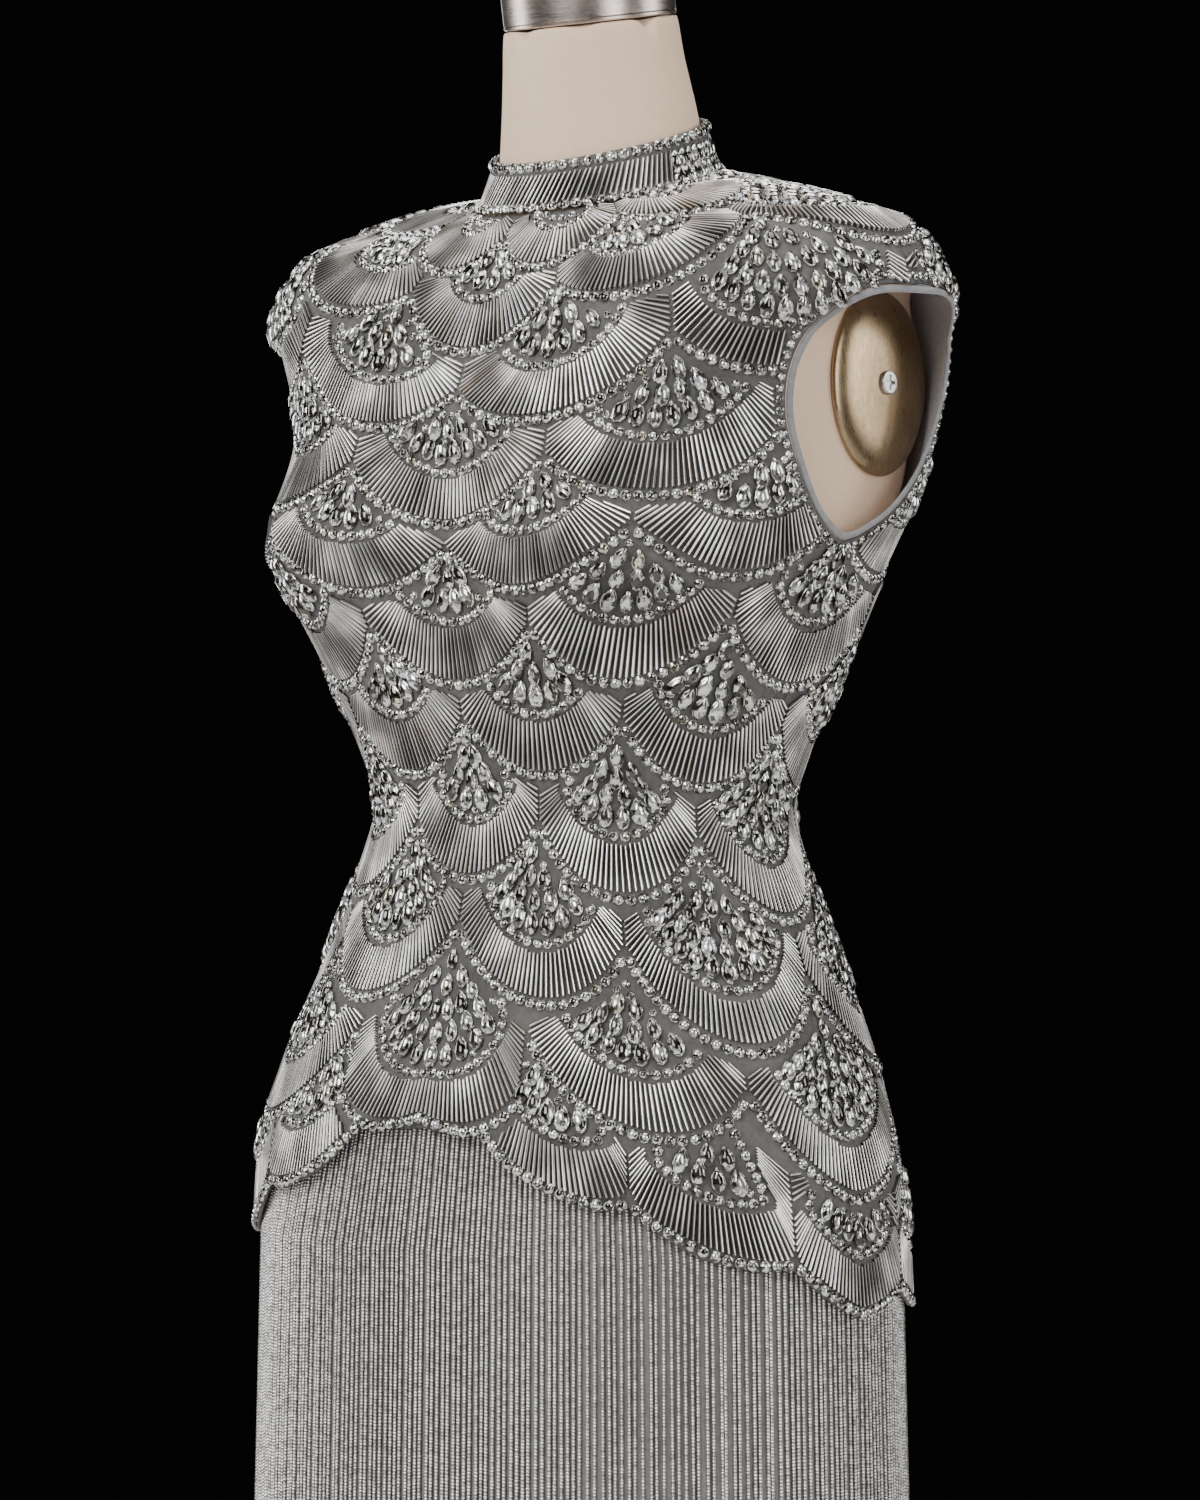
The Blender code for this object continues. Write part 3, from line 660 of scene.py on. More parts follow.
Colour = tuple[float, float, float]
Stops = Sequence[tuple[float, float | Colour]]
FLOAT, COLOUR, VECTOR = "NodeSocketFloat", "NodeSocketColor", "NodeSocketVector"

# Ramps: places from 0 to 1 with the shade or the colour there
# Painted shade and highlight across a bugle: dark edges, a mid body and a bright line past white.
BUGLE_PAINTED_HIGHLIGHT = (
    (0.0, 0.17), (0.28, 0.31), (0.42, 0.85), (0.56, 3.1), (0.66, 0.85), (0.78, 0.31), (1.0, 0.14)
)
# Painted reflections: slow light and dark patches over many bugles, past white at the brightest.
PAINTED_REFLECTION_PATCHES = ((0.36, 0.60), (0.50, 1.0), (0.64, 2.3))
# Painted facet reflections: each crystal face dark or bright at random.
FACET_PAINTED_REFLECTION = (
    (0.0, (0.04, 0.036, 0.03)), (0.34, (0.12, 0.11, 0.095)), (0.45, (0.66, 0.65, 0.62)), (0.58, 1.0)
)
# Painted glints and dark cuts in small cells on each crystal.
CHIP_PAINTED_GLINT = ((0.0, (0.10, 0.092, 0.08)), (0.18, (0.40, 0.39, 0.36)), (0.27, 1.0))
# Each strand bead's random tone, the brightest past white as a painted glint.
STRAND_TONE_AND_GLINT = ((0.0, (0.44, 0.43, 0.42)), (0.6, 1.0), (1.0, (1.55, 1.52, 1.46)))


class Bench:
    """Adds and joins nodes in one tree."""

    def __init__(self, tree: Tree) -> None:
        """Takes the tree to work on."""
        self.tree = tree

    def fill(self, node: Node, values: dict[str | int, object]) -> None:
        """Links or sets a node's inputs.

        Args:
            node: the node.
            values: a socket, a value or a colour by each input's name or number.
        """
        for name, value in values.items():
            entry = node.inputs[name]
            if isinstance(value, Socket):
                self.tree.links.new(value, entry)
            elif entry.type == "RGBA":
                entry.default_value = (*value, 1.0)[:4]
            else:
                entry.default_value = value

    def add(self, kind: str, values: dict[str | int, object] | None = None, **settings: object) -> Node:
        """Adds a shader node.

        Args:
            kind: the end of the node's type name.
            values: what its inputs hold.
            settings: the node's own properties.

        Returns:
            The node.
        """
        node = self.tree.nodes.new("ShaderNode" + kind)
        for name, value in settings.items():
            setattr(node, name, value)
        self.fill(node, values or {})
        return node

    def math(self, operation: str, *values: object, clamp: bool = False) -> Socket:
        """A Math node on sockets or numbers, and its output."""
        return self.add("Math", dict(enumerate(values)), operation=operation, use_clamp=clamp).outputs[0]

    def mix(self, share: object, first: object, second: object, blend: str = "MIX") -> Socket:
        """A colour mix, and its output."""
        values = {0: share, 6: first, 7: second}
        return self.add("Mix", values, data_type="RGBA", blend_type=blend).outputs[2]

    def noise(self, place: Socket, scale: object, detail: float, roughness: float = 0.5) -> Socket:
        """A Noise texture's value."""
        values = {"Vector": place, "Scale": scale, "Detail": detail, "Roughness": roughness}
        return self.add("TexNoise", values).outputs["Fac"]

    def ramp(self, factor: Socket, stops: Stops) -> Socket:
        """A colour ramp with these stops, and its output."""
        node = self.add("ValToRGB", {0: factor})
        elements = node.color_ramp.elements
        while len(elements) < len(stops):
            elements.new(0.5)
        for element, (position, shade) in zip(elements, stops):
            colour = shade if isinstance(shade, tuple) else (shade,) * 3
            element.position = position
            element.color = (*colour, 1.0)
        return node.outputs[0]

    def shaded(self, colour: Socket, factor: Socket, stops: Stops) -> Socket:
        """A colour multiplied by a ramp."""
        return self.mix(1.0, colour, self.ramp(factor, stops), "MULTIPLY")

    def group(self, tree: Tree, values: dict[str, object]) -> Node:
        """A group node with what its inputs hold."""
        return self.add("Group", values, node_tree=tree)

    def bump(self, shader: Node, height: Socket, strength: float, distance: float) -> None:
        """Feeds a height to the shader's normal."""
        made = self.add("Bump", {"Strength": strength, "Distance": distance, "Height": height})
        self.fill(shader, {"Normal": made.outputs["Normal"]})

    def place(self) -> Socket:
        """Places in the piece's own coordinates."""
        return self.add("TexCoord").outputs["Object"]

    def cloth_map(self) -> Socket:
        """Places on the cloth's own UV map."""
        return self.add("UVMap", uv_map="cloth").outputs[0]


def shader_group(name: str, entries: dict[str, str], exits: dict[str, str]) -> tuple:
    """A new shader node group.

    Args:
        name: the group's name.
        entries: the socket type of each input.
        exits: the socket type of each output.

    Returns:
        The group's bench, its input node's sockets and its output node.
    """
    tree = bpy.data.node_groups.new(name, "ShaderNodeTree")
    for way, sockets in (("INPUT", entries), ("OUTPUT", exits)):
        for title, kind in sockets.items():
            tree.interface.new_socket(title, in_out=way, socket_type=kind)
    return Bench(tree), tree.nodes.new("NodeGroupInput").outputs, tree.nodes.new("NodeGroupOutput")


class Effects:
    """The shared node groups, each made once."""

    def __init__(self) -> None:
        """Builds the groups."""
        self.weave = self._weave()
        self.mottle = self._mottle()
        self.brushed = self._brushed()
        self.bead_tone = self._bead_tone()

    @staticmethod
    def _weave() -> Tree:
        """Threads crossing at right angles, with uneven thickness; its shade is darker in the gaps between
        threads, as painted shade.
        """
        entries = {"Vector": VECTOR, "Scale": FLOAT, "Slub": FLOAT}
        bench, given, leave = shader_group("thread_weave", entries, {"Height": FLOAT, "Shade": FLOAT})
        values = {"Vector": given["Vector"], "Scale": given["Scale"], "Distortion": given["Slub"]}
        values["Detail"] = 1.0
        waves = [bench.add("TexWave", values, wave_type="BANDS", bands_direction=axis) for axis in "XY"]
        height = bench.math("MAXIMUM", *(wave.outputs["Fac"] for wave in waves))
        uneven = bench.noise(given["Vector"], 260.0, 2.0)
        bench.fill(leave, {"Height": height, "Shade": bench.math("MULTIPLY", height, uneven)})
        return bench.tree

    @staticmethod
    def _mottle() -> Tree:
        """A slow change between two colours with a finer one on it."""
        entries = {"Vector": VECTOR, "Dark": COLOUR, "Light": COLOUR, "Scale": FLOAT}
        bench, given, leave = shader_group("slow_mottle", entries, {"Color": COLOUR})
        broad = bench.noise(given["Vector"], given["Scale"], 4.0, 0.6)
        fine = bench.noise(given["Vector"], 420.0, 2.0)
        both = bench.math("ADD", broad, bench.math("MULTIPLY_ADD", fine, 0.45, -0.22))
        held = bench.ramp(both, ((0.3, 0.0), (0.7, 1.0)))
        bench.fill(leave, {"Color": bench.mix(held, given["Dark"], given["Light"])})
        return bench.tree

    @staticmethod
    def _brushed() -> Tree:
        """Fine scratches that run one way."""
        exits = {"Lines": FLOAT, "Roughness": FLOAT}
        bench, given, leave = shader_group("brush_lines", {"Vector": VECTOR, "Stretch": VECTOR}, exits)
        place = bench.add("VectorMath", {0: given["Vector"], 1: given["Stretch"]}, operation="MULTIPLY")
        lines = bench.noise(place.outputs[0], 1.0, 3.0, 0.7)
        bench.fill(leave, {"Lines": lines, "Roughness": bench.math("MULTIPLY_ADD", lines, 0.35, 0.14)})
        return bench.tree

    @staticmethod
    def _bead_tone() -> Tree:
        """Each bead's own colour between dark, mid and light, with a rare warm one."""
        entries = {"Dark": COLOUR, "Mid": COLOUR, "Light": COLOUR, "Warm": COLOUR, "Warm Share": FLOAT}
        exits = {"Color": COLOUR, "Rough": FLOAT, "Across": FLOAT}
        bench, given, leave = shader_group("bead_tone", entries, exits)
        tone = bench.add("Attribute", attribute_name="tone")
        chance, warmth, polish = bench.add("SeparateColor", {0: tone.outputs["Color"]}).outputs
        low = bench.math("MULTIPLY", chance, 2.0, clamp=True)
        high = bench.math("MULTIPLY_ADD", chance, 2.0, -1.0, clamp=True)
        colour = bench.mix(high, bench.mix(low, given["Dark"], given["Mid"]), given["Light"])
        warm = bench.math("LESS_THAN", warmth, given["Warm Share"])
        rough = bench.math("MULTIPLY_ADD", polish, 0.16, 0.07)
        colour = bench.mix(warm, colour, given["Warm"])
        bench.fill(leave, {"Color": colour, "Rough": rough, "Across": tone.outputs["Alpha"]})
        return bench.tree


def start_material(name: str) -> tuple[Material, Bench, Node]:
    """A new material with its bench and its Principled BSDF."""
    made = bpy.data.materials.new(name)
    made.use_nodes = True
    return made, Bench(made.node_tree), made.node_tree.nodes["Principled BSDF"]


@dataclass(frozen=True)
class ClothFinish:
    """A woven cloth.

    Attributes:
        name: the material's name.
        dark: its darker colour.
        light: its lighter colour.
        threads: the weave's scale.
        slub: how uneven the threads are.
        relief: how deep the weave is, in metres.
        roughness: the shader's roughness.
        sheen: the shader's sheen weight.
        mottle: the scale of the slow colour change.
        by_uv: whether the weave follows the cloth's own UV map.
        gap_shade: how dark the painted shade in the gaps between threads is.
    """

    name: str
    dark: Colour
    light: Colour
    threads: float
    slub: float
    relief: float
    roughness: float
    sheen: float
    mottle: float
    by_uv: bool = True
    gap_shade: float = 0.62

    def make(self, effects: Effects) -> Material:
        """Builds the material."""
        made, bench, shader = start_material(self.name)
        place = bench.place()
        values = {"Vector": place, "Dark": self.dark, "Light": self.light, "Scale": self.mottle}
        colour = bench.group(effects.mottle, values).outputs["Color"]
        laid = bench.cloth_map() if self.by_uv else place
        weave = bench.group(effects.weave, {"Vector": laid, "Scale": self.threads, "Slub": self.slub})
        # Painted shade in the gaps between threads, with the threads' uneven tone.
        colour = bench.shaded(colour, weave.outputs["Shade"], ((0.0, self.gap_shade), (0.6, 1.0)))
        bench.fill(shader, {"Base Color": colour, "Roughness": self.roughness})
        bench.fill(shader, {"Sheen Weight": self.sheen, "Sheen Roughness": 0.5})
        bench.bump(shader, weave.outputs["Height"], 0.6, self.relief)
        return made


@dataclass(frozen=True)
class MetalFinish:
    """A brushed or satin metal.

    Attributes:
        name: the material's name.
        dark: the colour in its marks.
        light: its own colour.
        stretch: the brush lines' scale on each axis.
        relief: how deep the lines are.
        metallic: the shader's metallic value.
        mottle: the scale of the slow colour change.
    """

    name: str
    dark: Colour
    light: Colour
    stretch: tuple[float, float, float]
    relief: float = 0.00005
    metallic: float = 1.0
    mottle: float = 22.0

    def make(self, effects: Effects) -> Material:
        """Builds the material."""
        made, bench, shader = start_material(self.name)
        place = bench.place()
        brushed = bench.group(effects.brushed, {"Vector": place, "Stretch": self.stretch}).outputs
        values = {"Vector": place, "Dark": self.dark, "Light": self.light, "Scale": self.mottle}
        colour = bench.group(effects.mottle, values).outputs["Color"]
        bench.fill(shader, {"Base Color": colour, "Roughness": brushed["Roughness"]})
        bench.fill(shader, {"Metallic": self.metallic})
        bench.bump(shader, brushed["Lines"], 0.25, self.relief)
        return made


@dataclass(frozen=True)
class BeadFinish:
    """A glossy bead that differs from bead to bead.

    Attributes:
        name: the material's name.
        dark: the darkest beads.
        mid: the usual beads.
        light: the brightest beads.
        warm: the rare warm ones.
        warm_share: how many are warm.
        metallic: the shader's metallic value.
        painted_fire: how strongly painted coloured flashes tint it; with them come painted facet reflections
            and painted glints.
        cells: the scale of those flashes and of the glints.
        coat: the shader's coat weight.
        painted_highlight: the ramp of painted shade and highlight across the bead.
        painted_reflection_scale: the scale of the painted reflections, slow light and dark over many beads,
            or 0.
    """

    name: str
    dark: Colour
    mid: Colour
    light: Colour
    warm: Colour = (0.85, 0.72, 0.50)
    warm_share: float = 0.08
    metallic: float = 0.9
    painted_fire: float = 0.0
    cells: float = 640.0
    coat: float = 0.5
    painted_highlight: Stops = ()
    painted_reflection_scale: float = 0.0

    def make(self, effects: Effects) -> Material:
        """Builds the material."""
        made, bench, shader = start_material(self.name)
        values = {"Dark": self.dark, "Mid": self.mid, "Light": self.light}
        values |= {"Warm": self.warm, "Warm Share": self.warm_share}
        tone = bench.group(effects.bead_tone, values).outputs
        colour = tone["Color"]
        # Painted shade and highlight across each bugle.
        if self.painted_highlight:
            colour = bench.shaded(colour, tone["Across"], self.painted_highlight)
        # Painted reflections: slow light and dark patches over many beads.
        if self.painted_reflection_scale:
            colour = bench.shaded(colour, bench.noise(bench.place(), self.painted_reflection_scale, 1.0), PAINTED_REFLECTION_PATCHES)
        # Painted coloured flashes, painted facet reflections and painted glints on the crystals.
        if self.painted_fire:
            cells = bench.add("TexVoronoi", {"Vector": bench.place(), "Scale": self.cells}).outputs["Color"]
            tint = bench.add("HueSaturation", {"Color": cells, "Saturation": 1.0, "Value": 1.1})
            colour = bench.mix(self.painted_fire, colour, tint.outputs[0])
            facet = bench.add("Attribute", attribute_name="facet").outputs["Fac"]
            glint_cell = bench.add("SeparateColor", {0: cells}).outputs[1]
            colour = bench.shaded(bench.shaded(colour, facet, FACET_PAINTED_REFLECTION), glint_cell, CHIP_PAINTED_GLINT)
        bench.fill(shader, {"Base Color": colour, "Roughness": tone["Rough"], "Metallic": self.metallic})
        bench.fill(shader, {"Coat Weight": self.coat, "Coat Roughness": 0.05})
        return made


@dataclass(frozen=True)
class StrandFinish:
    """A string of small beads: banded along its length, with painted shade between beads.

    Attributes:
        name: the material's name.
        pitch: the length of one bead.
        gap: the painted shade between beads.
        dark: the darkest beads.
        mid: the usual beads.
        light: the brightest beads.
    """

    name: str = "strand_beads"
    pitch: float = 0.0018
    gap: Colour = (0.26, 0.25, 0.24)
    dark: Colour = (0.82, 0.80, 0.77)
    mid: Colour = (0.90, 0.88, 0.85)
    light: Colour = (0.92, 0.90, 0.865)

    def make(self, effects: Effects) -> Material:
        """Builds the material."""
        made, bench, shader = start_material(self.name)
        across, along, _ = bench.add("SeparateXYZ", {0: bench.cloth_map()}).outputs
        wave = bench.math("COSINE", bench.math("MULTIPLY", along, TURN / self.pitch))
        height = bench.math("MULTIPLY_ADD", wave, 0.5, 0.5)
        number = bench.math("FLOOR", bench.math("DIVIDE", along, self.pitch))
        cell = bench.add("CombineXYZ", {0: number, 1: bench.math("FLOOR", across)}).outputs[0]
        chance = bench.add("TexWhiteNoise", {"Vector": cell}, noise_dimensions="3D").outputs["Value"]
        values = {"Dark": self.dark, "Mid": self.mid, "Light": self.light, "Warm Share": 0.0}
        tone = bench.group(effects.bead_tone, values).outputs["Color"]
        # Each bead's random tone, the brightest as a painted glint.
        colour = bench.shaded(tone, chance, STRAND_TONE_AND_GLINT)
        # Painted shade in the crevices between beads.
        between = bench.ramp(height, ((0.08, 0.0), (0.5, 1.0)))
        colour = bench.mix(between, self.gap, colour)
        bench.fill(shader, {"Base Color": colour, "Metallic": 0.75, "Roughness": 0.28})
        bench.bump(shader, height, 0.7, 0.0004)
        return made


class Finishes:
    """Every material of the part, by name."""

    def __init__(self) -> None:
        """Builds the materials."""
        effects = Effects()
        net = (0.118, 0.111, 0.105), (0.20, 0.19, 0.181)
        satin = (0.28, 0.27, 0.26), (0.38, 0.367, 0.354)
        twill = (0.33, 0.325, 0.345), (0.47, 0.46, 0.48)
        linen = (0.89, 0.652, 0.465), (0.98, 0.718, 0.513)
        black = (0.03, 0.03, 0.032), (0.055, 0.055, 0.058)
        brass = (0.30, 0.215, 0.12), (0.45, 0.335, 0.205)
        glass = (0.42, 0.39, 0.36), (0.58, 0.55, 0.52), (0.80, 0.78, 0.74), (0.52, 0.45, 0.38)
        silver = (0.10, 0.095, 0.085), (0.17, 0.16, 0.145), (0.30, 0.285, 0.26)
        crystal = (0.78, 0.77, 0.74), (0.92, 0.91, 0.89), (1.0, 1.0, 1.0), (0.97, 0.90, 0.78)
        kinds = [
            ClothFinish("net_ground", *net, 1500, 1.0, 0.0003, 0.6, 0.08, 16),
            ClothFinish("lining", (0.78, 0.75, 0.79), (0.90, 0.87, 0.92), 2400, 1.0, 0.0002, 0.75, 0.3, 20),
            ClothFinish("satin_ground", *satin, 2600, 0.5, 0.0001, 0.38, 0.2, 9),
            ClothFinish("binding_twill", *twill, 2400, 1.0, 0.0002, 0.75, 0.3, 20),
            ClothFinish("form_linen", *linen, 2100, 0.3, 0.00002, 0.9, 0.1, 10, False, 0.95),
            MetalFinish("brushed_steel", (0.41, 0.352, 0.312), (0.61, 0.53, 0.475), (90.0, 90.0, 2600.0)),
            MetalFinish("pole_steel", (0.36, 0.358, 0.356), (0.56, 0.557, 0.553), (900.0, 900.0, 60.0)),
            MetalFinish("satin_brass", *brass, (120.0, 900.0, 120.0), 0.00002),
            MetalFinish("screw_steel", (0.62, 0.61, 0.60), (0.86, 0.85, 0.84), (400.0, 400.0, 400.0)),
            MetalFinish("stand_black", *black, (160, 160, 160), 0.00008, 0.3),
            BeadFinish("bugle_glass", *glass, 0.06, metallic=0.55, painted_highlight=BUGLE_PAINTED_HIGHLIGHT, painted_reflection_scale=34.0),
            BeadFinish("crystal", *crystal, 0.04, metallic=0.68, painted_fire=0.06, coat=1.0),
            BeadFinish("cup_silver", *silver, coat=0.0),
            StrandFinish(),
        ]
        self.made = {kind.name: kind.make(effects) for kind in kinds}

    def dress(self, piece: Piece, slot: str, *names: str) -> Piece:
        """Gives a piece its materials and its place on the frame.

        Args:
            piece: the piece.
            slot: the record's material slot; not used.
            names: its materials, in slot order.

        Returns:
            The same piece.
        """
        piece.data.materials.clear()
        for name in names:
            piece.data.materials.append(self.made[name])
        if "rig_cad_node" not in piece:
            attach(piece, BODY)
        return piece


# The tunic


@dataclass
class Tunic:
    """The three cloth panels of the tunic.

    Attributes:
        shape: the surface.
        armholes: where it opens.
        thick: the cloth's thickness.
        scallops: how many scallops go round the hem.
        scallop_depth: how far each hangs.
        lift_rings: how many rings the hem rises at the centre front.
        lift_from: the ring from which the rows rise.
        notch_rings: how much of that rise the very middle goes without.
        notch_half: the sine of the angle over which it does.
        lift_curve: how quickly the rows rise towards the hem.
        lift_round: how quickly the rise falls off to the sides.
        seam: the back panels' gap, as a share of a half.
        columns: how many steps go across the front panel.
    """

    shape: TorsoShape
    armholes: Armholes
    thick: float = 0.0013
    scallops: int = 12
    scallop_depth: float = 0.013
    lift_rings: float = 0.70
    lift_from: float = 9.0
    notch_rings: float = 0.30
    notch_half: float = 0.17
    lift_curve: float = 0.7
    lift_round: float = 1.2
    seam: float = 0.0006
    columns: int = 110

    def rings(self) -> Array:
        """The ring of each row of points, close together round the armholes."""
        upper = np.linspace(0, self.armholes.top, 20, endpoint=False)
        span = self.armholes.bottom - self.armholes.top
        middle = self.armholes.top + span * (1 - np.cos(np.linspace(0, math.pi, 45))) / 2
        lower = np.linspace(self.armholes.bottom, HEM_RING, 52)[1:]
        return np.concatenate([upper, middle, lower])

    def front_lift(self, ring: Array | float, angle: Array) -> Array:
        """How many rings the lower rows and the hem rise towards the centre front."""
        share = np.clip((np.asarray(ring, float) - self.lift_from) / (HEM_RING - self.lift_from), 0, 1)
        ahead = np.cos(angle)
        notch = self.notch_rings * np.clip(1 - np.abs(np.sin(angle)) / self.notch_half, 0, 1) * (ahead > 0)
        lift = self.lift_rings * np.clip(ahead, 0, 1) ** self.lift_round - notch * share**3
        return share**self.lift_curve * lift

    def hem_drop(self, angle: Array) -> Array:
        """How far the scallops hang below the hem line."""
        share = np.interp((angle + math.pi) % TURN - math.pi, self.shape.angles, self.shape.even(HEM_RING))
        place = (share - 0.5) * self.scallops + 0.5
        return self.scallop_depth * np.sin(math.pi * (place % 1.0))

    def panel(self, side: Side) -> Array:
        """The inner face's points of one panel."""
        facing = -1 if side is Side.FRONT else 1
        rows = self.rings()
        columns = self.columns if side is Side.FRONT else self.columns // 2
        shares = {
            Side.FRONT: np.linspace(-1, 1, columns + 1),
            Side.BACK_LEFT: np.linspace(1, self.seam, columns + 1),
            Side.BACK_RIGHT: np.linspace(-self.seam, -1, columns + 1),
        }[side]
        points = []
        for number, ring in enumerate(rows):
            edge = self.armholes.edge(float(ring), facing)
            angle = shares * edge if side is Side.FRONT else math.pi - shares * (math.pi - edge)
            row = self.shape.point(ring - self.front_lift(ring, angle), angle)
            below = np.clip(ring - (HEM_RING - 1.0), 0, 1) ** 2
            row[:, 2] -= self.hem_drop(angle) * below
            points.append(row)
        return np.stack(points)

    def build(self, finishes: Finishes) -> dict[Side, Piece]:
        """Makes the three panels."""
        made = {}
        for side in Side:
            points = self.panel(side)
            name = "tunic_" + side.value
            sheet = grid_sheet(name, points, self.thick)
            sheet.modifiers["wall"].material_offset = 1
            sheet.modifiers["wall"].material_offset_rim = 0
            finishes.dress(sheet, "beaded_cloth", "net_ground", "lining")
            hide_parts("bodice_" + side.value)
            made[side] = sheet
        return made


@dataclass(frozen=True)
class FanRow:
    """One row of beaded fans.

    Attributes:
        apex: the ring of the fans' upper points.
        foot: the ring of their lowest points.
        count: how many go round.
        on_centre: whether one is at the centre front.
        flat: how much wider than its half pitch a fan's outline is.
        skip_centre: whether the fan at the centre front is left out.
        only_centre: whether it is the only one.
    """

    apex: float
    foot: float
    count: int
    on_centre: bool
    flat: float = 1.33
    skip_centre: bool = False
    only_centre: bool = False


@dataclass(frozen=True)
class Fan:
    """Where one fan lies.

    Attributes:
        row: its row.
        above: the rows that overlap it.
        centre: its centre as a share of the way round.
        high: its height on the cloth.
        inner: its wedge's height as a share of its own.
        spread: the turn of its wedge's sides.
    """

    row: FanRow
    above: Sequence[FanRow]
    centre: float
    high: float = 0.0
    inner: float = 0.0
    spread: float = 0.0


@dataclass
class FanBeading:
    """Rows of fans laid like fish scales: a wedge of set stones, a band of bugles and a stone edge.

    A fan's own coordinates are half pitches across and shares of its height down. A cover says how
    far out in an upper fan's outline beads of a kind stay hidden.

    Attributes:
        shape: the tunic's surface.
        armholes: where the tunic opens.
        tunic: the panels, for their hem.
        stone: a round stone's diameter.
        stone_pitch: the spacing of round stones.
        bugle: a bugle's diameter.
        bugle_pitch: the spacing of bugles.
        bugle_most: the longest bugle.
        bugle_least: the shortest bugle.
        bugle_seat: how high a bugle's middle sits, in diameters.
        crowd: how close two bugles' lines may come.
        band_most: the widest band of bugles.
        band_gap: the room that bugles leave beside stones.
        rim_across: where the bugles' rim runs at a fan's sides.
        side_from: how high up the sides it starts.
        aim_across: how far the point that a bugle aims at follows its foot across.
        aim_down: where it is at the middle, and how much lower for each half pitch.
        pear_long: a pear stone's length.
        pear_across: the spacing of pears in a row.
        pear_down: the spacing of their rows.
        pear_reach: the room round a pear's middle.
        pear_seat: how far over its row's line a pear starts, in lengths.
        pear_shrink: how much shorter each upper row is.
        pear_lengths: the least length and how much chance adds, as shares.
        pear_widths: the same for the width.
        pear_high: a pear's height for its length.
        pear_lift: how high its foot is over the cloth.
        pear_margin: how near an armhole it may come.
        margin: how near an armhole other beads may come.
        edge_cover: the cover of the edge's stones.
        wedge_cover: the cover of the wedge's outline.
        pear_cover: the cover of pears and bugles.
        fill_cover: the cover of small stones.
        fill_stone: a small stone's diameter.
        fill_step: the steps at which a free place is looked for.
        hem_apex: how high the hem's fans reach above it.
        back_rise: how much higher they reach at the centre back.
        edge_share: the edge's height as a share of the fan's.
        inner_share: the wedge's.
        inner_uneven: how much chance changes it.
        wedge_turns: the least and the greatest turn of the wedge's sides.
        wedge_sides: where they start and end, as shares of the wedge.
        wedge_stone: a wedge's stone for an edge's.
        wedge_top: the share of the wedge's height where it starts.
        side_room: the room that pears leave beside the wedge's stones.
        least_turn: the least turn of a row of pears.
        rows: the rows, neck to hem.
        hem_row: the row along the hem.
        sets: the beads gathered for each kind and half.
        rounds: each row's even share of its length at each stored angle.
        hem_lines: angles, and the rings there of the hem fans' upper and lowest points.
    """

    shape: TorsoShape
    armholes: Armholes
    tunic: Tunic
    stone: float = 0.0062
    stone_pitch: float = 0.0066
    bugle: float = 0.0021
    bugle_pitch: float = 0.0033
    bugle_most: float = 0.044
    bugle_least: float = 0.006
    bugle_seat: float = 0.42
    crowd: float = 0.00145
    band_most: float = 0.034
    band_gap: float = 0.042
    rim_across: float = 0.985
    side_from: float = 0.36
    aim_across: float = 0.30
    aim_down: tuple[float, float] = (0.12, 0.13)
    pear_long: float = 0.0142
    pear_across: float = 0.0098
    pear_down: float = 0.0118
    pear_reach: float = 0.0056
    pear_seat: float = 0.55
    pear_shrink: float = 0.04
    pear_lengths: tuple[float, float] = (0.92, 0.16)
    pear_widths: tuple[float, float] = (0.92, 0.12)
    pear_high: float = 0.95
    pear_lift: float = 0.0009
    pear_margin: float = 0.008
    margin: float = 0.006
    edge_cover: float = 0.99
    wedge_cover: float = 1.03
    pear_cover: float = 1.04
    fill_cover: float = 1.05
    fill_stone: float = 0.0046
    fill_step: float = 0.0028
    hem_apex: float = 0.088
    back_rise: float = 0.018
    edge_share: float = 0.98
    inner_share: float = 0.585
    inner_uneven: float = 0.035
    wedge_turns: tuple[float, float] = (0.84, 1.08)
    wedge_sides: tuple[float, float] = (0.08, 0.9)
    wedge_stone: float = 0.94
    wedge_top: float = 0.05
    side_room: float = 0.07
    least_turn: float = 0.02
    rows: Sequence[FanRow] = (
        FanRow(-0.8, 1.75, 8, False),
        FanRow(0.6, 3.45, 8, True),
        FanRow(2.2, 5.8, 8, False),
        FanRow(4.1, 8.5, 8, True),
        FanRow(6.7, 10.8, 8, False),
        FanRow(9.4, 12.85, 8, True),
        FanRow(11.5, 14.75, 8, False),
        FanRow(13.5, 17.05, 8, True),
        FanRow(15.4, 19.5, 8, False),
        FanRow(17.9, 21.5, 8, True, skip_centre=True),
        FanRow(17.9, HEM_RING + 0.80, 8, True, only_centre=True),
    )
    hem_row: FanRow = FanRow(0.0, 0.0, 12, True, flat=2.0, skip_centre=True)
    sets: dict[tuple[Gem, str], BeadSet] = field(default_factory=dict)
    rounds: dict[FanRow, Array] = field(init=False)
    hem_lines: tuple[Array, Array, Array] = field(init=False)

    def __post_init__(self) -> None:
        """Works out each row's even spacing and where the hem's fans start and end."""
        self.rounds = {row: self._round(row) for row in (*self.rows, self.hem_row)}
        angles = self.shape.angles[::12]
        rise = self.hem_apex + self.back_rise * np.maximum(-np.cos(angles), 0)
        hem = self.shape.point(np.full(len(angles), HEM_RING), angles)
        above = self.shape.point(np.full(len(angles), HEM_RING - 1.0), angles)
        hang = self.tunic.scallop_depth / np.linalg.norm(hem - above, axis=1)
        self.hem_lines = (angles, self.shape.above_hem(angles, rise), HEM_RING + hang)

